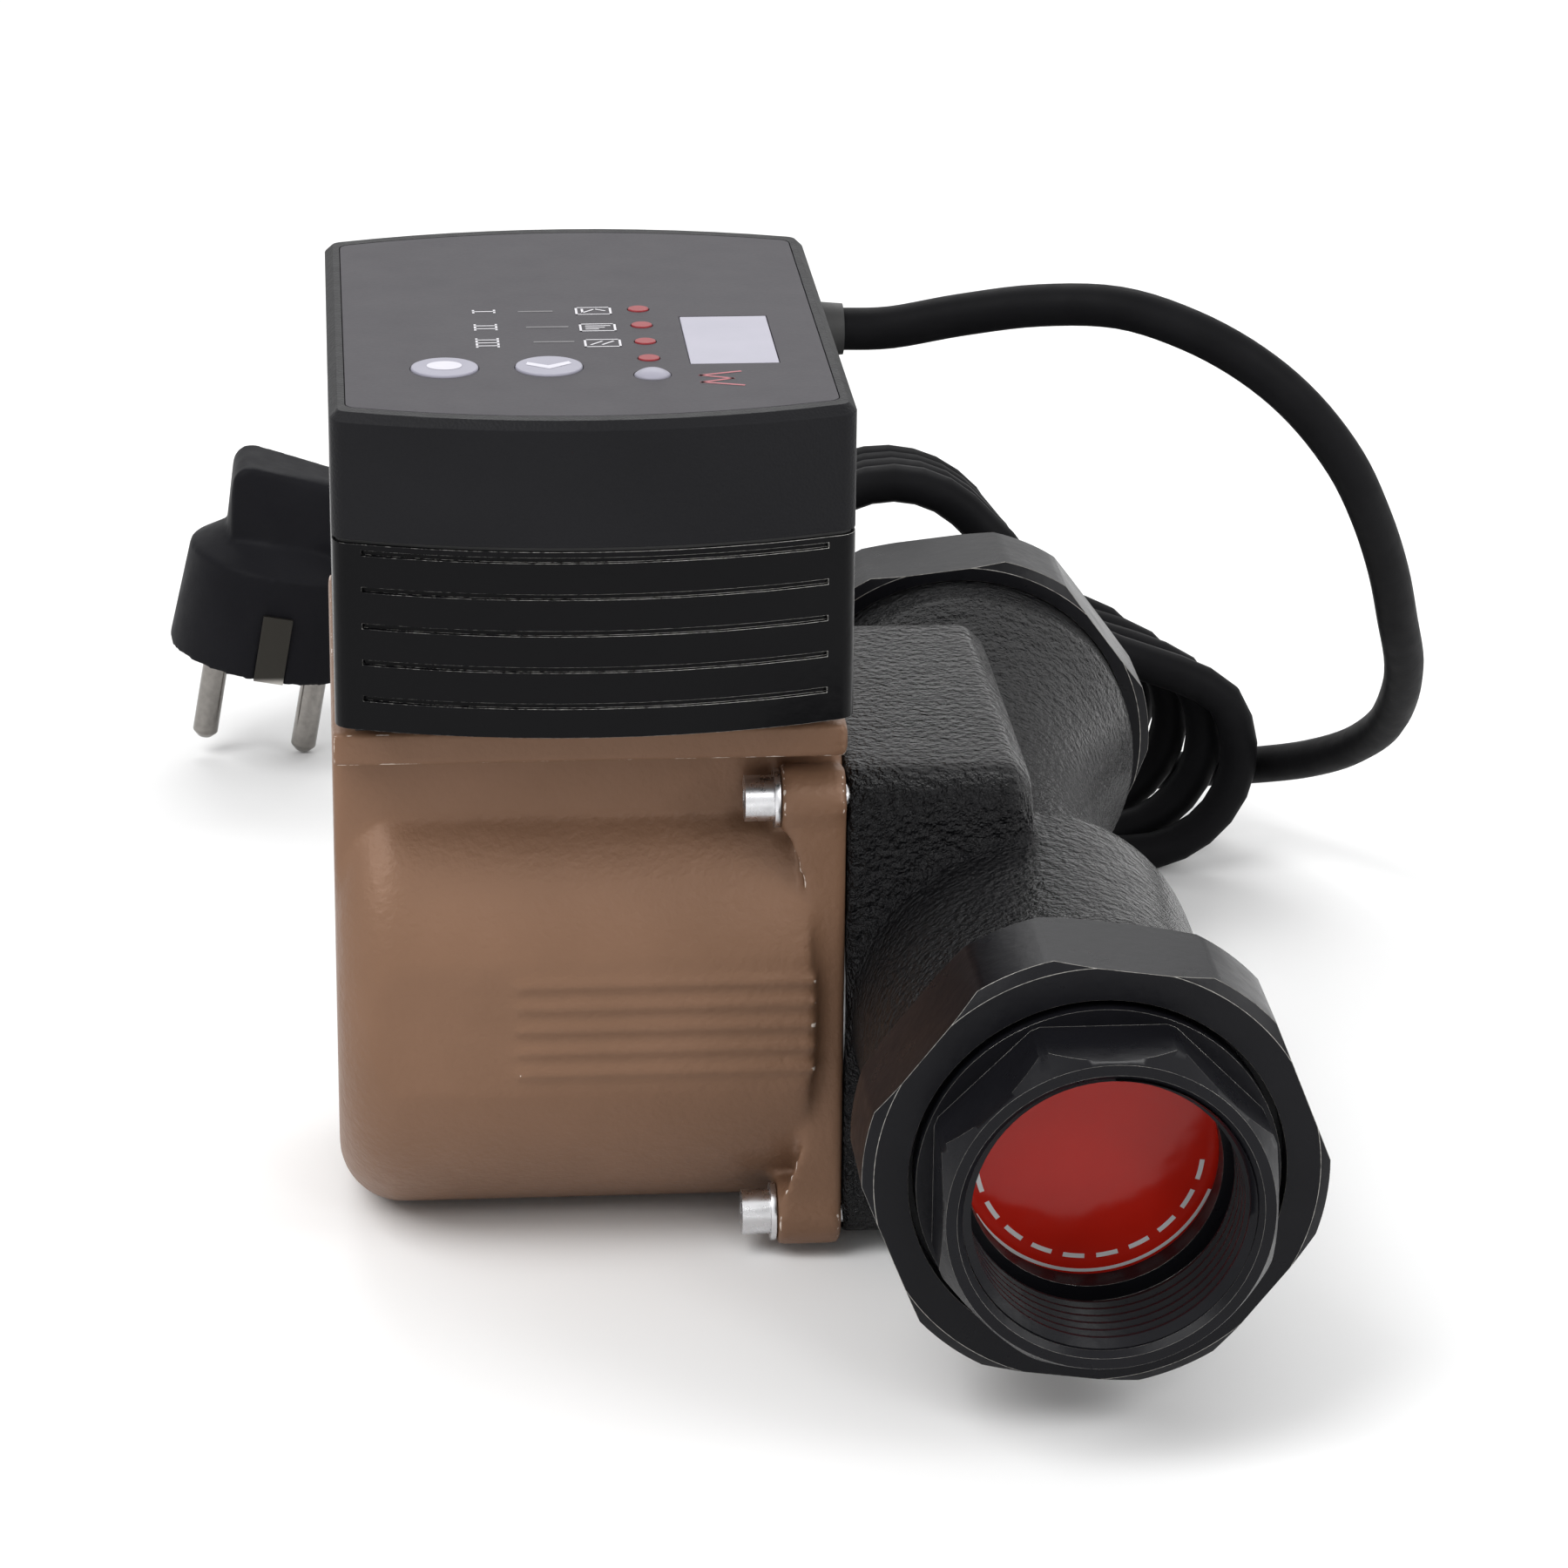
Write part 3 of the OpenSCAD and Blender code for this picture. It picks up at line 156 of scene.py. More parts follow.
cord_curve = bpy.data.curves.new("cord", "CURVE")
cord_curve.dimensions = "3D"
cord_curve.bevel_depth = CORD_MM * MM / 2
cord_curve.bevel_resolution = 5
cord_curve.use_fill_caps = True
spline = cord_curve.splines.new("POLY")
spline.points.add(len(cord_line) - 1)
for point, place in zip(spline.points, cord_line):
    point.co = (*place, 1)
spline.use_smooth = True
cord = bpy.data.objects.new("cord", cord_curve)
bpy.context.collection.objects.link(cord)


class Value:
    """A number or colour that changes over a surface, written in plain arithmetic."""

    def __init__(self, nodes, socket):
        self.nodes, self.socket = nodes, socket

    def maths(self, operation, *others):
        """The value after a Math node's operation."""
        inputs = dict(enumerate((self, *others)))
        return self.nodes.node("ShaderNodeMath", {"operation": operation}, inputs)

    def __add__(self, other):
        return self.maths("ADD", other)

    __radd__ = __add__

    def __mul__(self, other):
        return self.maths("MULTIPLY", other)

    __rmul__ = __mul__

    def between(self, low, high):
        """0 below low, 1 above high and smooth between them."""
        return self.nodes.node("ShaderNodeMapRange", {"interpolation_type": "SMOOTHSTEP"},
                               {"Value": self, "From Min": low, "From Max": high})


class Nodes:
    """A node tree, with one way to add a node and one to feed its shader."""

    def __init__(self, tree, shader):
        self.tree = tree
        self.shader = tree.nodes[shader]

    def node(self, kind, settings, values, out=0):
        """Adds a node, with its settings first and then its sockets' values or links."""
        made = self.tree.nodes.new(kind)
        for key, value in settings.items():
            setattr(made, key, value)
        for key, value in values.items():
            if isinstance(value, Value):
                self.tree.links.new(value.socket, made.inputs[key])
            else:
                made.inputs[key].default_value = value
        return Value(self, made.outputs[out])

    def feed(self, socket, value):
        """Sets or links a socket of the shader."""
        if isinstance(value, Value):
            self.tree.links.new(value.socket, self.shader.inputs[socket])
        else:
            self.shader.inputs[socket].default_value = value


class Finish(Nodes):
    """A material with its nodes."""

    def __init__(self, name, colour, roughness, metallic=0.0, specular=0.5):
        self.material = bpy.data.materials.new(name)
        self.material.use_nodes = True
        super().__init__(self.material.node_tree, "Principled BSDF")
        self.feed("Base Color", (*colour, 1))
        self.feed("Roughness", roughness)
        self.feed("Metallic", metallic)
        self.feed("Specular IOR Level", specular)
        self.place = self.node("ShaderNodeTexCoord", {}, {}, "Object")

    def noise(self, size_mm, detail, roughness=0.5, stretch=None):
        """Soft random patches about size_mm across."""
        place = self.place
        if stretch:
            place = self.node("ShaderNodeMapping", {}, {"Vector": place, "Scale": stretch})
        return self.node("ShaderNodeTexNoise", {}, {
            "Vector": place, "Scale": 1 / (size_mm * MM), "Detail": detail,
            "Roughness": roughness})

    def grains(self, size_mm):
        """Distance from the middle of random grains about size_mm across."""
        return self.node("ShaderNodeTexVoronoi", {},
                         {"Vector": self.place, "Scale": 1 / (size_mm * MM)})

    def mix(self, share, low, high):
        """Colour low where share is 0 and high where it is 1."""
        low, high = ((*colour, 1) if isinstance(colour, tuple) else colour
                     for colour in (low, high))
        return self.node("ShaderNodeMix", {"data_type": "RGBA"}, {0: share, 6: low, 7: high}, 2)

    def bump(self, height, depth_mm):
        """Raises the skin by depth_mm where height is 1."""
        self.feed("Normal", self.node("ShaderNodeBump", {},
                                      {"Height": height, "Distance": depth_mm * MM}))

    def mottle(self, low, high, size_mm, detail):
        """Lets the colour drift from low to high in patches about size_mm across."""
        self.feed("Base Color", self.mix(self.noise(size_mm, detail), low, high))

    def polish(self, least, spread, size_mm, detail):
        """Lets the roughness drift from least up by spread in patches about size_mm across."""
        self.feed("Roughness", least + self.noise(size_mm, detail) * spread)

    def attribute(self, name):
        """The number that a mesh carries under this name."""
        return self.node("ShaderNodeAttribute", {"attribute_name": name}, {}, "Fac")

    def axis(self, name):
        """Metres along X, Y or Z of the part."""
        return self.node("ShaderNodeSeparateXYZ", {}, {0: self.place}, name)


rubber = Finish("cord_rubber", (0.007, 0.007, 0.008), 0.5, specular=0.04)
rubber.mottle((0.004, 0.004, 0.0045), (0.009, 0.009, 0.01), 9, 4)
rubber.polish(0.42, 0.22, 3, 5)
rubber.bump(rubber.noise(0.6, 3), 0.02)
cord_curve.materials.append(rubber.material)
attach(cord, "pump")
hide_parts("cord_lead", "cord_hank", "cord_tail")

# Plug
# An angled earthed plug moulded onto the cord's end in black rubber, with two nickel-plated
# pins and a sprung earth contact at each side of its round face.
SAME_CORNER_MM = 0.002
FLAT_DEGREES = 0.6


def copy_of(node):
    """The merged mesh of a CAD node, to be worked on as a new piece."""
    mesh = bmesh.new()
    mesh.from_mesh(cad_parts[node].data)
    bmesh.ops.remove_doubles(mesh, verts=mesh.verts, dist=SAME_CORNER_MM * MM)
    return mesh


def piece(name, mesh, body, finish, replaces=None, sharp=35, weighted=True):
    """Makes an object of a bmesh, smooth up to the sharp angle, that rides on a body and may
    replace a CAD node. Weighted normals keep the flats beside a rounding flat."""
    data = bpy.data.meshes.new(name)
    mesh.to_mesh(data)
    mesh.free()
    data.shade_smooth()
    data.set_sharp_from_angle(angle=math.radians(sharp))
    made = bpy.data.objects.new(name, data)
    bpy.context.collection.objects.link(made)
    if weighted:
        made.modifiers.new("even_normals", "WEIGHTED_NORMAL").keep_sharp = True
    data.materials.append(finish.material)
    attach(made, body)
    if replaces:
        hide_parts(replaces)
    return made


def moulded(mesh, voxel_mm, passes, faces_share=1.0):
    """Runs all edges of a mesh together softly, as in a moulding or a casting. A share of the
    faces is kept."""
    data = bpy.data.meshes.new("mould")
    mesh.to_mesh(data)
    mesh.free()
    body = bpy.data.objects.new("mould", data)
    bpy.context.collection.objects.link(body)
    remesh = body.modifiers.new("remesh", "REMESH")
    remesh.mode = "VOXEL"
    remesh.voxel_size = voxel_mm * MM
    smooth = body.modifiers.new("smooth", "SMOOTH")
    smooth.iterations = passes
    smooth.factor = 0.5
    if faces_share < 1:
        body.modifiers.new("thin_out", "DECIMATE").ratio = faces_share
    shaped = bmesh.new()
    shaped.from_object(body, bpy.context.evaluated_depsgraph_get())
    bpy.data.objects.remove(body)
    return shaped


plug_rubber = Finish("plug_rubber", (0.007, 0.007, 0.009), 0.45, specular=0.05)
plug_rubber.mottle((0.005, 0.005, 0.0065), (0.011, 0.011, 0.013), 14, 4)
plug_rubber.polish(0.4, 0.25, 4, 5)
plug_rubber.bump(plug_rubber.noise(0.5, 3), 0.02)
plug_skin = moulded(copy_of("plug_body"), voxel_mm=0.6, passes=3)
plug = piece("plug", plug_skin, "pump", plug_rubber, "plug_body", sharp=180,
             weighted=False)

nickel = Finish("nickel_pins", (0.45, 0.43, 0.4), 0.2, metallic=1.0)
nickel.polish(0.12, 0.16, 2, 5)
nickel.mottle((0.16, 0.15, 0.14), (0.3, 0.285, 0.265), 1.2, 4)
tarnished = Finish("earth_contacts", (0.03, 0.028, 0.024), 0.4, metallic=0.8)
CONTACT_DULL_Z, CONTACT_BRIGHT_Z = 22, 20.5
bright_end = tarnished.axis("Z").between(CONTACT_DULL_Z * MM, CONTACT_BRIGHT_Z * MM)
tarnished.feed("Base Color", tarnished.mix(bright_end, (0.03, 0.028, 0.024), (0.45, 0.43, 0.4)))
tarnished.polish(0.35, 0.15, 2, 4)


def rounded(mesh, width_mm, segments=2, angle=28):
    """Rounds every edge sharper than angle and marks the middle of the rounding as edge."""
    bmesh.ops.dissolve_limit(mesh, angle_limit=math.radians(FLAT_DEGREES), verts=mesh.verts,
                             edges=mesh.edges)
    sharp = [e for e in mesh.edges
             if len(e.link_faces) == 2 and e.calc_face_angle() > math.radians(angle)]
    made = bmesh.ops.bevel(mesh, geom=sharp, offset=width_mm * MM, offset_type="OFFSET",
                           affect="EDGES", segments=segments, profile=0.5, material=-1,
                           clamp_overlap=True)
    edge = mesh.verts.layers.float.new("edge")
    rim = set(made["faces"])
    for vert in mesh.verts:
        vert[edge] = 1.0 if all(face in rim for face in vert.link_faces) else 0.0
    return mesh


pins = piece("pins", rounded(copy_of("plug_pins"), 0.25), "pump", nickel,
             "plug_pins")
contacts = piece("contacts", rounded(copy_of("plug_earth_contacts"), 0.15), "pump", tarnished,
                 "plug_earth_contacts")

# Volute
# The cast-iron pump housing: a square block with the scroll in it, the inlet drum and the outlet
# bell, cast in sand and sprayed gloss black, so that the rough skin shows through the paint.
cast_black = Finish("volute_paint", (0.003, 0.003, 0.004), 0.2, specular=0.16)
sand = cast_black.noise(1.3, 3, 0.6)
lumps = cast_black.noise(5, 3)
cast_black.mottle((0.003, 0.003, 0.0035), (0.009, 0.009, 0.01), 22, 4)
cast_black.feed("Roughness", 0.1 + lumps * 0.2)
cast_black.bump(sand * 1.5 + lumps * 0.5, 1.5)
cast_skin = moulded(copy_of("volute"), voxel_mm=0.85, passes=8, faces_share=0.6)
piece("pump_housing", cast_skin, "pump", cast_black, "volute", sharp=180,
      weighted=False)

# Wet end and motor inside
# What the water and the current reach: ceramic shaft in carbon bearings, plastic impeller,
# stainless can and plates, laminated stator with enamelled windings. These nodes keep their CAD
# shapes, because none of them shows from outside.


def dress(finish, *nodes):
    """Gives CAD nodes that stay as they are their finish."""
    for node in nodes:
        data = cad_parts[node].data
        data.materials.clear()
        data.materials.append(finish.material)


stainless = Finish("stainless", (0.62, 0.62, 0.63), 0.3, metallic=1.0)
stainless.feed("Roughness", 0.25 + stainless.noise(3, 4, stretch=(1, 1, 12)) * 0.2)
iron = Finish("laminated_iron", (0.3, 0.3, 0.32), 0.5, metallic=0.8)
iron.mottle((0.22, 0.22, 0.24), (0.4, 0.4, 0.42), 4, 5)
copper = Finish("enamelled_wire", (0.55, 0.22, 0.1), 0.35, metallic=0.9)
copper.mottle((0.42, 0.15, 0.06), (0.7, 0.32, 0.15), 1.5, 4)
ceramic = Finish("ceramic", (0.85, 0.83, 0.78), 0.15)
ceramic.polish(0.1, 0.1, 5, 3)
carbon = Finish("carbon", (0.04, 0.04, 0.045), 0.45)
carbon.polish(0.35, 0.25, 1, 4)
gasket = Finish("gasket_rubber", (0.02, 0.02, 0.02), 0.6)
gasket.polish(0.5, 0.2, 2, 4)
wheel = Finish("impeller_plastic", (0.75, 0.7, 0.55), 0.4)
wheel.mottle((0.7, 0.64, 0.48), (0.8, 0.75, 0.6), 6, 3)
white = Finish("white_plastic", (0.8, 0.8, 0.77), 0.4)
white.polish(0.35, 0.15, 3, 3)
green = Finish("board_lacquer", (0.02, 0.12, 0.05), 0.3)
green.mottle((0.015, 0.1, 0.04), (0.03, 0.16, 0.07), 2, 5)
dress(stainless, "wear_ring", "bearing_plate", "rotor_can", "rotor_sleeve", "base_screws",
      "cover_screws", "board_screws")
dress(iron, "stator_core", "rotor_core")
dress(copper, "stator_windings", "inductor")
dress(ceramic, "rotor_shaft")
dress(carbon, "front_bearing", "rear_bearing", "thrust_ring", "key_switches")
dress(gasket, "housing_seal", "vent_seal", "inlet_gasket", "outlet_gasket", "deck_gasket",
      "cover_seal")
dress(wheel, "impeller")
dress(white, "motor_leads", "terminal_block", "capacitor", "display_module", "supply_leads")
dress(green, "circuit_board")

# Motor housing
# The aluminium casting round the stator, with its square screw flange and the deck that carries
# the box, in a satin brown paint with a fine orange-peel skin, chipped bright along the flange.


def mark_edges(mesh, full_bend):
    """Marks the outward bent places of a moulded skin as edge, from 0 to 1 at full_bend."""
    edge = mesh.verts.layers.float.new("edge")
    for vert in mesh.verts:
        sink = sum((link.other_vert(vert).co - vert.co).normalized().dot(vert.normal)
                   for link in vert.link_edges)
        vert[edge] = max(0.0, min(1.0, -sink / len(vert.link_edges) / full_bend))
    return mesh


brown = Finish("motor_paint", (0.2, 0.118, 0.077), 0.42, metallic=0.15, specular=0.25)
peel = brown.noise(1.1, 2)
patch = brown.noise(18, 4)
chips = (brown.attribute("edge") * (0.4 + brown.noise(1.5, 5) * 1.2)).between(0.88, 1.0)
paint = brown.mix(patch, (0.158, 0.086, 0.05), (0.206, 0.114, 0.07))
brown.feed("Base Color", brown.mix(chips, paint, (0.6, 0.52, 0.46)))
brown.polish(0.36, 0.16, 3, 3)
brown.bump(peel + brown.noise(5, 3) * 1.5, 0.12)
motor_skin = moulded(copy_of("motor_housing"), voxel_mm=0.8, passes=7, faces_share=0.55)
piece("motor", mark_edges(motor_skin, full_bend=0.2), "pump", brown,
      "motor_housing", sharp=180, weighted=False)

# Flange screws
# Four zinc-plated M4 socket screws on plain washers, turned down hard into the volute's block,
# and the slotted vent screw of the same finish in the motor's closed end.
zinc = Finish("zinc_plate", (0.68, 0.68, 0.7), 0.25, metallic=1.0)
zinc.polish(0.16, 0.25, 1.5, 5)
zinc.mottle((0.55, 0.55, 0.56), (0.8, 0.8, 0.82), 4, 4)
piece("screws", rounded(copy_of("flange_screws"), 0.35), "pump", zinc, "flange_screws")
piece("washers", rounded(copy_of("flange_washers"), 0.12), "pump", zinc, "flange_washers")
piece("vent", rounded(copy_of("vent_screw"), 0.3), "vent_screw", zinc, "vent_screw")

# Unions
# A turned tailpiece with an inside pipe thread and eight flats, held to each port by a hexagon
# nut. Both are steel with a thin black skin that is worn bright on its edges. A red disc closes
# each port, and the inlet's has a printed ring.
FLOW_X, AXIS_Z = 36.875, 41.0
RIM = 113.6
THREAD_R, THREAD_PITCH, THREAD_DEPTH = 20.9, 2.309, 1.35
THREAD_L, THREAD_INSET = 15.4, 1.2
THREAD_FORM = [(0, 0.05), (0.35, 1), (0.6, 1), (0.95, 0.05)]  # shares of pitch and depth
THREAD_STEPS, THREAD_RUN_OUT = 72, 24  # steps of a full turn, and of each thin end
blackened = Finish("blackened_steel", (0.004, 0.004, 0.005), 0.26, specular=0.12)
edge_reach = 0.3 + blackened.noise(1.1, 5, 0.65) * 1.3
worn = (blackened.attribute("edge") * edge_reach).between(0.45, 0.85)
skin = blackened.mix(blackened.noise(16, 4), (0.003, 0.003, 0.004), (0.008, 0.008, 0.01))
blackened.feed("Base Color", blackened.mix(worn, skin, (0.3, 0.29, 0.27)))
blackened.feed("Metallic", worn * 0.7)
blackened.polish(0.2, 0.2, 5, 4)
blackened.bump(blackened.noise(2.2, 4), 0.06)


def pipe_thread(side):
    """The cut inside thread of a tailpiece: a wall of the thread's depth, wound round its bore."""
    mesh = bmesh.new()
    turns = int(THREAD_L / THREAD_PITCH)
    steps = turns * THREAD_STEPS
    ends = [mesh.verts.new((THREAD_R - THREAD_DEPTH * depth, 0, (at - 0.5) * THREAD_PITCH))
            for at, depth in THREAD_FORM]
    wall = [mesh.edges.new((a, b)) for a, b in zip(ends, ends[1:])]
    bmesh.ops.spin(mesh, geom=ends + wall, cent=(0, 0, 0), axis=(0, 0, 1),
                   dvec=(0, 0, THREAD_PITCH / THREAD_STEPS), angle=2 * math.pi * turns,
                   steps=steps, use_merge=False)
    for number, vert in enumerate(mesh.verts):
        step = number // len(THREAD_FORM)
        grown = min(1, step / THREAD_RUN_OUT, (steps - step) / THREAD_RUN_OUT)
        r = vert.co.xy.length
        vert.co.xy *= (THREAD_R - (THREAD_R - r) * grown) / r
    bmesh.ops.recalc_face_normals(mesh, faces=mesh.faces)
    inward = Matrix.Translation((0, 0, RIM - THREAD_INSET - turns * THREAD_PITCH))
    quarter = math.radians(-90 * side)
    turn = Matrix.Rotation(quarter, 4, "X") @ Matrix.Rotation(quarter, 4, "Z")
    place = Matrix.Scale(MM, 4) @ Matrix.Translation((FLOW_X, 0, AXIS_Z)) @ turn @ inward
    bmesh.ops.transform(mesh, verts=mesh.verts, matrix=place)
    return mesh


for end, side in (("inlet", -1), ("outlet", 1)):
    piece(end + "_tail", rounded(copy_of(end + "_tailpiece"), 0.22), "pump", blackened,
          end + "_tailpiece")
    piece(end + "_thread", pipe_thread(side), "pump", blackened, sharp=50,
          weighted=False)
    piece(end + "_union", rounded(copy_of(end + "_nut"), 0.25), end + "_nut", blackened,
          end + "_nut")

red = Finish("red_film", (0.4, 0.012, 0.006), 0.14, specular=0.25)
red.mottle((0.5, 0.012, 0.005), (0.58, 0.02, 0.01), 12, 3)
red.bump(red.noise(9, 2), 0.2)
dress(red, "inlet_port_disc", "outlet_port_disc")
DISC_PRINT_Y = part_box("inlet_port_disc")[0][1] / MM - 0.05


def rim_print(mesh, r_in, r_out, start, end, steps):
    """A band of ink along part of a circle on the inlet's disc, its angles in degrees."""
    middle = Vector((FLOW_X, DISC_PRINT_Y, AXIS_Z)) * MM
    outward = Vector((math.cos(math.radians(start)), 0, math.sin(math.radians(start))))
    ends = [mesh.verts.new(middle + outward * r * MM) for r in (r_in, r_out)]
    bmesh.ops.spin(mesh, geom=ends + [mesh.edges.new(ends)], cent=middle, axis=(0, -1, 0),
                   angle=math.radians(end - start), steps=steps, use_merge=False)


film_ink = Finish("film_ink", (0.75, 0.74, 0.74), 0.3)
film_ink.mottle((0.7, 0.69, 0.7), (0.8, 0.79, 0.79), 8, 3)
DASH_STARTS, DASH = range(-170, 0, 17), 11
ring = bmesh.new()
rim_print(ring, 18.6, 19.1, -150, -20, 48)
for start in DASH_STARTS:
    rim_print(ring, 16.2, 16.9, start, start + DASH, 8)
piece("disc_print", ring, "pump", film_ink, weighted=False)

# Box base
# The finned lower half of the control box, a casting in gloss black paint. Bright lines along
# its fins' edges, more towards the right, are partly worn paint and partly a painted highlight.
gloss_black = Finish("box_paint", (0.003, 0.003, 0.0035), 0.14, specular=0.08)
DULL_X, BRIGHT_X = -75, 5
# Painted highlight mixed with wear: the bright edge colour below stands partly for paint worn off
# and partly for the fins' lips catching the light from above.
to_right = gloss_black.axis("X").between(DULL_X * MM, BRIGHT_X * MM)
edge_reach = 0.1 + to_right * 0.3 + gloss_black.noise(0.9, 6, 0.7) * 1.2
worn_and_highlit_edge = (gloss_black.attribute("edge") * edge_reach).between(0.62, 0.8)
gloss_black.feed("Base Color", gloss_black.mix(worn_and_highlit_edge, (0.003, 0.003, 0.0035), (0.42, 0.41, 0.39)))
gloss_black.feed("Roughness", 0.14 + gloss_black.noise(6, 4) * 0.16 + worn_and_highlit_edge * 0.2)
gloss_black.bump(gloss_black.noise(3, 3), 0.08)
piece("base", rounded(copy_of("box_base"), 0.12), "pump", gloss_black, "box_base")

# Box cover
# The moulded black cover with its fine spark-eroded skin, its edges softly rounded. The cord
# comes in through a rubber gland in its right wall.
cover_skin = Finish("cover_plastic", (0.008, 0.008, 0.0095), 0.5, specular=0.1)
cover_skin.mottle((0.006, 0.006, 0.007), (0.01, 0.01, 0.0115), 24, 3)
cover_skin.polish(0.42, 0.14, 2, 4)
cover_skin.bump(cover_skin.grains(0.45), 0.05)
piece("cover", rounded(copy_of("box_cover"), 0.5, 3, 25), "pump", cover_skin,
      "box_cover")
dress(gasket, "cord_gland")

# Front panel
# A satin grey plate let into the cover, with two push buttons, a row of small red lamps, a round
# status lamp and a pale display window.
panel_grey = Finish("panel_film", (0.045, 0.042, 0.048), 0.5, specular=0.06)
panel_grey.mottle((0.038, 0.035, 0.041), (0.052, 0.049, 0.056), 0.7, 4)
panel_grey.polish(0.36, 0.12, 8, 4)
panel_grey.bump(panel_grey.noise(0.5, 2), 0.01)
piece("panel", rounded(copy_of("front_panel"), 0.12), "pump", panel_grey,
      "front_panel")
pale = Finish("display_film", (0.38, 0.37, 0.43), 0.45, specular=0.1)
pale.mottle((0.35, 0.345, 0.4), (0.41, 0.4, 0.46), 10, 3)
piece("window", rounded(copy_of("display_window"), 0.15), "pump", pale,
      "display_window")
dull_red = Finish("lamp_red", (0.28, 0.03, 0.035), 0.35, specular=0.15)
dull_red.mottle((0.2, 0.02, 0.026), (0.27, 0.032, 0.038), 1, 3)
piece("lamps", rounded(copy_of("red_lamps"), 0.2), "pump", dull_red, "red_lamps")
lilac = Finish("button_plastic", (0.28, 0.27, 0.33), 0.45, specular=0.2)
lilac.mottle((0.26, 0.255, 0.31), (0.31, 0.305, 0.36), 5, 3)
piece("status", rounded(copy_of("status_lamp"), 0.1, 2, 60), "pump", lilac,
      "status_lamp")
for side in ("left", "right"):
    piece(side + "_key", rounded(copy_of(side + "_button"), 0.3), side + "_button", lilac,
          side + "_button")

# Print on the panel
# Generic marks in ink on the panel and the keys, read from the right: three speed numerals with
# their faint bars, three boxed signs, a unit letter, a disc and a tick.
PANEL_Z = 140.7
INK_MM = 0.04


def print_lines(lines, width_mm):
    """Flat inked strokes on the panel, along each line of points in mm."""
    mesh = bmesh.new()
    for line in lines:
        for a, b in zip(line, line[1:]):
            a, b = Vector(a), Vector(b)
            along = (b - a).normalized() * width_mm / 2
            side = Vector((-along.y, along.x))
            corners = (a - along - side, b + along - side, b + along + side, a - along + side)
            mesh.faces.new([mesh.verts.new((c.x * MM, c.y * MM, (PANEL_Z + INK_MM) * MM))
                            for c in corners])
    return mesh


def numeral(x, y, strokes):
    """A Roman numeral of so many strokes, standing along X."""
    gap, top, serif = 1.6, 1.6, 0.75
    half = gap / 2 * (strokes - 1)
    uprights = [[(x - top, y + i * gap - half), (x + top, y + i * gap - half)]
                for i in range(strokes)]
    serifs = [[(x + end, y - half - serif), (x + end, y + half + serif)] for end in (-top, top)]
    return uprights + serifs


def boxed(x, y, sign):
    """A small frame round a sign."""
    w, h = 2.6, 1.9
    edge = [(x - w, y - h), (x + w, y - h), (x + w, y + h), (x - w, y + h), (x - w, y - h)]
    return [edge] + [[(x + u, y + v) for u, v in line] for line in sign]


ink = Finish("pale_ink", (0.6, 0.59, 0.62), 0.5)
ink.mottle((0.42, 0.41, 0.44), (0.66, 0.65, 0.68), 1.2, 4)
dim_ink = Finish("dim_ink", (0.14, 0.135, 0.145), 0.45)
dim_ink.mottle((0.05, 0.048, 0.053), (0.09, 0.087, 0.093), 0.8, 4)
red_ink = Finish("red_ink", (0.3, 0.03, 0.05), 0.45)
red_ink.mottle((0.2, 0.05, 0.06), (0.36, 0.03, 0.05), 0.8, 4)
STEPPED_SIGN = [[(-1.7, 1), (-1.7, -1), (0.2, 1), (1.7, 0)]]
BARRED_SIGN = [[(-1.7, 0.9), (1.8, 0.9)], [(-1.7, 0), (0.9, 0)], [(-1.7, -0.9), (0, -0.9)]]
SLANTED_SIGN = [[(-1.7, -0.8), (-0.1, 0.9)], [(0, -0.8), (1.6, 0.9)]]
FAINT_BARS = [[(-40.7, 4.5), (-36, 4.5)], [(-39.8, -4.3), (-34, -4.3)],
              [(-39, -12.5), (-33.5, -12.5)]]
UNIT_LETTER = [[(-9.7, -29.6), (-15.5, -31.4), (-11, -33.2), (-15.5, -35), (-9.7, -36.8)]]
marks = numeral(-46.2, 4.8, 1) + numeral(-46.2, -4.0, 2) + numeral(-46.2, -12.6, 3)
marks += boxed(-29.5, 4.4, STEPPED_SIGN) + boxed(-29.3, -4.9, BARRED_SIGN)
marks += boxed(-29.0, -13.5, SLANTED_SIGN)
piece("print_pale", print_lines(marks, 0.35), "pump", ink, weighted=False)
piece("print_dim", print_lines(FAINT_BARS, 0.6), "pump", dim_ink, weighted=False)
piece("print_red", print_lines(UNIT_LETTER, 0.6), "pump", red_ink, weighted=False)
key_ink = Finish("key_ink", (0.55, 0.54, 0.6), 0.45, specular=0.2)
key_ink.mottle((0.52, 0.51, 0.57), (0.6, 0.59, 0.65), 2, 3)
KEY_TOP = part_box("left_button")[1][2] / MM


def key_print(points):
    """One inked patch on a key, inside a line of points in mm."""
    mesh = bmesh.new()
    mesh.faces.new([mesh.verts.new((x * MM, y * MM, (KEY_TOP + INK_MM) * MM)) for x, y in points])
    bmesh.ops.triangulate(mesh, faces=mesh.faces)
    return mesh


DISC_X, DISC_Y, DISC_HALF_X, DISC_HALF_Y = -53, -25.4, 2.6, 2.3
disc = [(DISC_X + DISC_HALF_X * math.cos(turn), DISC_Y + DISC_HALF_Y * math.sin(turn))
        for turn in (math.radians(degrees) for degrees in range(0, 360, 15))]
tick = [(-40.7, -24.2), (-37.7, -26.1), (-34.6, -24), (-34.2, -25.2), (-37.6, -27.9), (-41, -25.5)]
for side, points in (("left", disc), ("right", tick)):
    piece("print_" + side + "_key", key_print(points), side + "_button", key_ink,
          weighted=False)

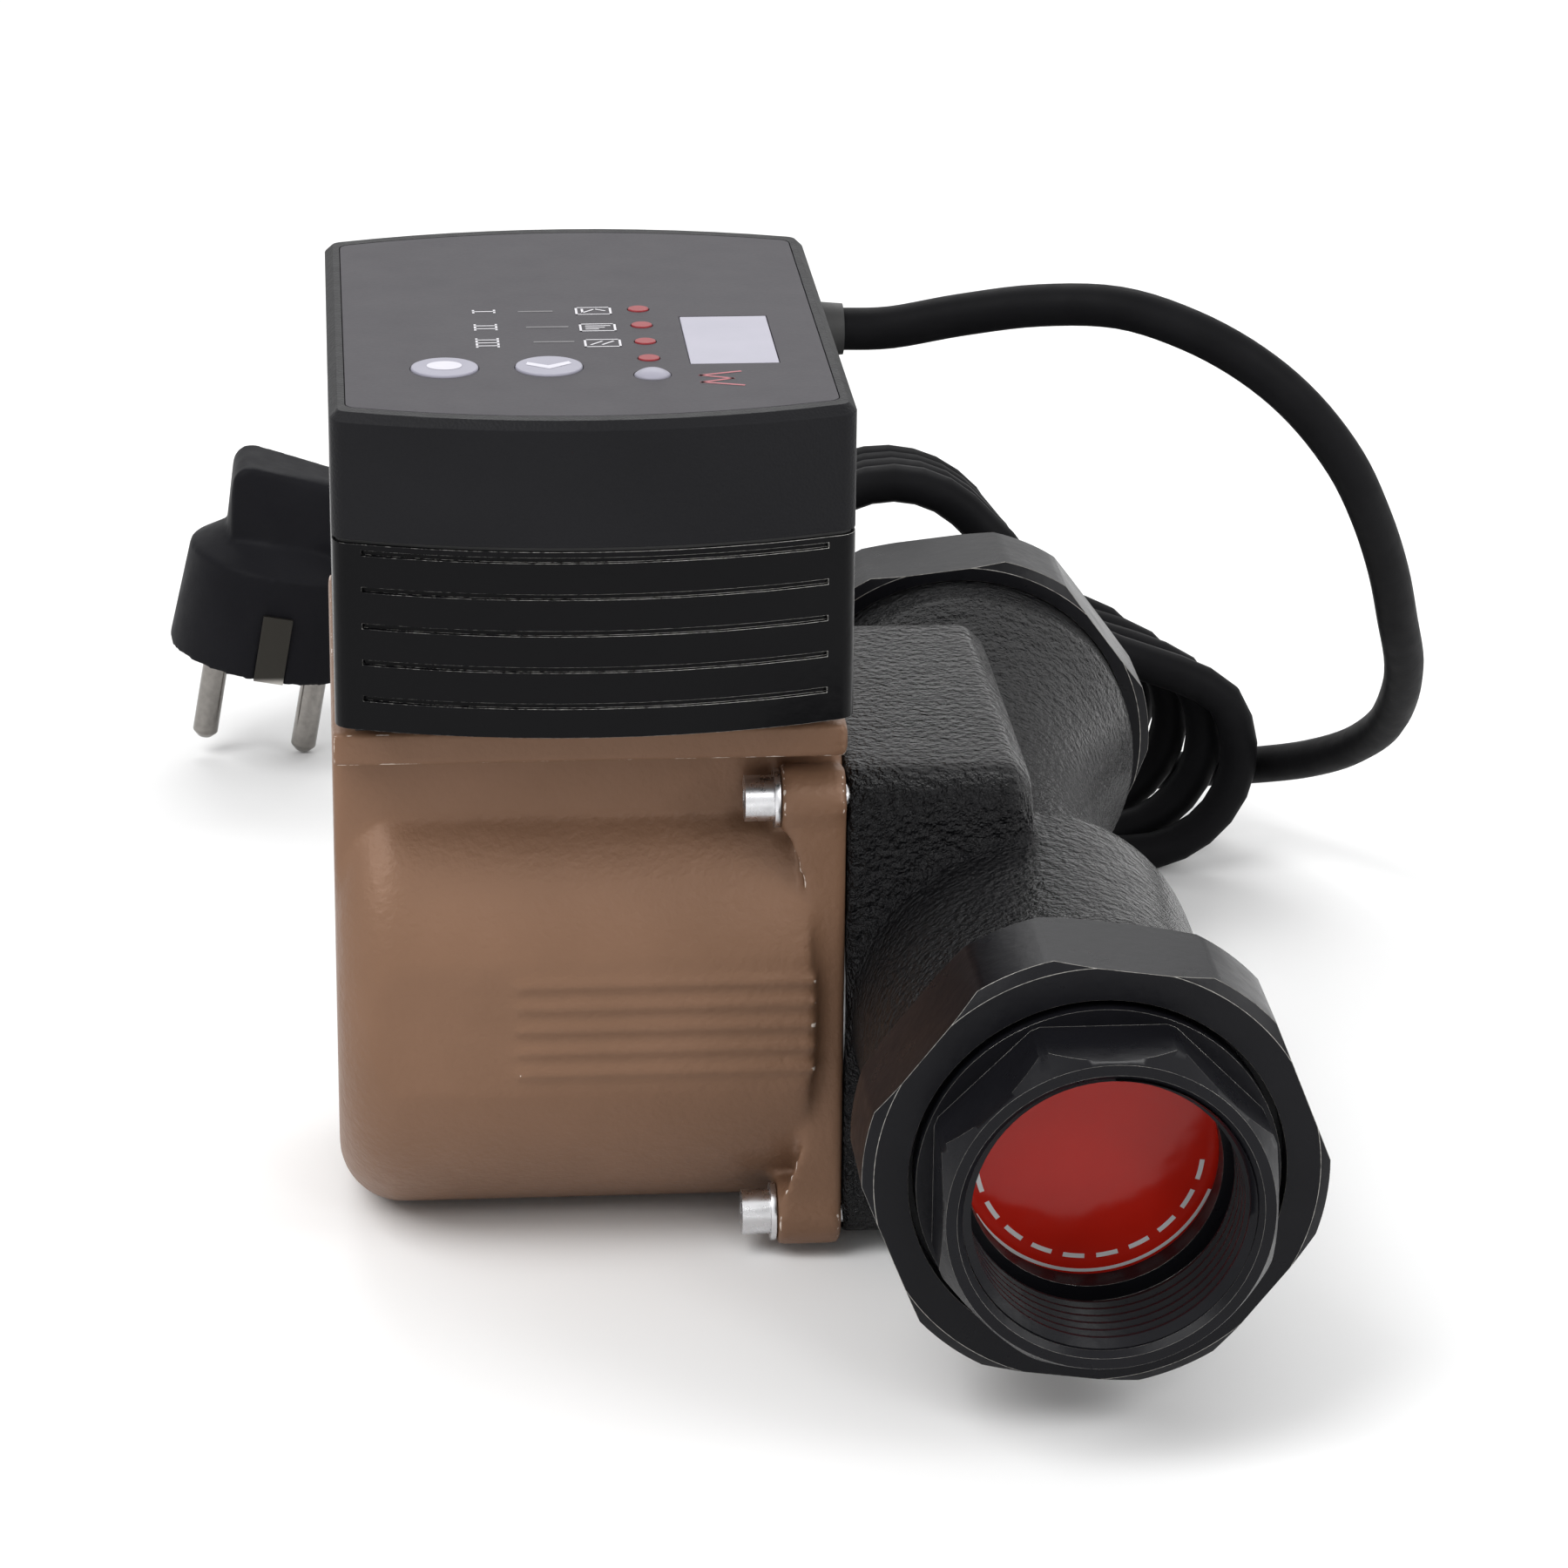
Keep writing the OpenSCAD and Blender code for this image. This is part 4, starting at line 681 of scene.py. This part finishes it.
# Floor and light
# A pale paper floor that runs out into plain white away from the object, a large soft lamp from
# the upper left, a small one from the front, one from the right and one from behind.
SKY_LIGHT = 0.55
FLOOR_HALF_M = 6
PAPER_TO_M, WHITE_FROM_M = 0.4, 1.1
LIT_PLACE = Vector((0, 0, 0.05))
floor_mesh = bmesh.new()
bmesh.ops.create_grid(floor_mesh, x_segments=1, y_segments=1, size=FLOOR_HALF_M)
floor_data = bpy.data.meshes.new("floor")
floor_mesh.to_mesh(floor_data)
floor_mesh.free()
floor = bpy.data.objects.new("floor", floor_data)
bpy.context.collection.objects.link(floor)


def looked_at(nodes):
    """1 for a ray that looks, also in a gloss or through glass, and 0 for light on the object."""
    seen, in_gloss, in_glass = (nodes.node("ShaderNodeLightPath", {}, {}, "Is " + kind + " Ray")
                                for kind in ("Camera", "Glossy", "Transmission"))
    return seen.maths("MAXIMUM", in_gloss).maths("MAXIMUM", in_glass)


paper = Finish("paper", (0.9, 0.9, 0.9), 0.9)
away = paper.node("ShaderNodeVectorMath", {"operation": "LENGTH"}, {0: paper.place}, "Value")
blank = away.between(PAPER_TO_M, WHITE_FROM_M) * looked_at(paper)
paper.feed("Base Color", paper.mix(blank, (0.9, 0.9, 0.9), (0, 0, 0)))
paper.feed("Emission Color", paper.mix(blank, (0, 0, 0), (1, 1, 1)))
paper.feed("Emission Strength", 1)
floor_data.materials.append(paper.material)


def softbox(name, at, size, watts):
    """A rectangular lamp that points at the object."""
    lamp = bpy.data.lights.new(name, "AREA")
    lamp.shape = "RECTANGLE"
    lamp.size, lamp.size_y = size
    lamp.energy = watts
    lamp_object = bpy.data.objects.new(name, lamp)
    lamp_object.location = at
    aim = LIT_PLACE - Vector(at)
    lamp_object.rotation_euler = aim.to_track_quat("-Z", "Y").to_euler()
    bpy.context.collection.objects.link(lamp_object)


softbox("key_light", (-0.7, -0.5, 1.1), (0.9, 0.9), 13)
softbox("front_light", (0.3, -1.0, 0.8), (0.25, 0.25), 1.6)
softbox("side_light", (0.9, -0.6, 0.6), (0.5, 0.8), 6)
softbox("back_light", (0.1, 0.9, 0.9), (1.0, 0.5), 6)
world = bpy.data.worlds.new("studio")
bpy.context.scene.world = world
world.use_nodes = True
sky = Nodes(world.node_tree, "Background")
sky.feed("Color", (1, 1, 1, 1))
sky.feed("Strength", looked_at(sky) * (1 - SKY_LIGHT) + SKY_LIGHT)
bpy.context.scene.view_settings.view_transform = "Standard"
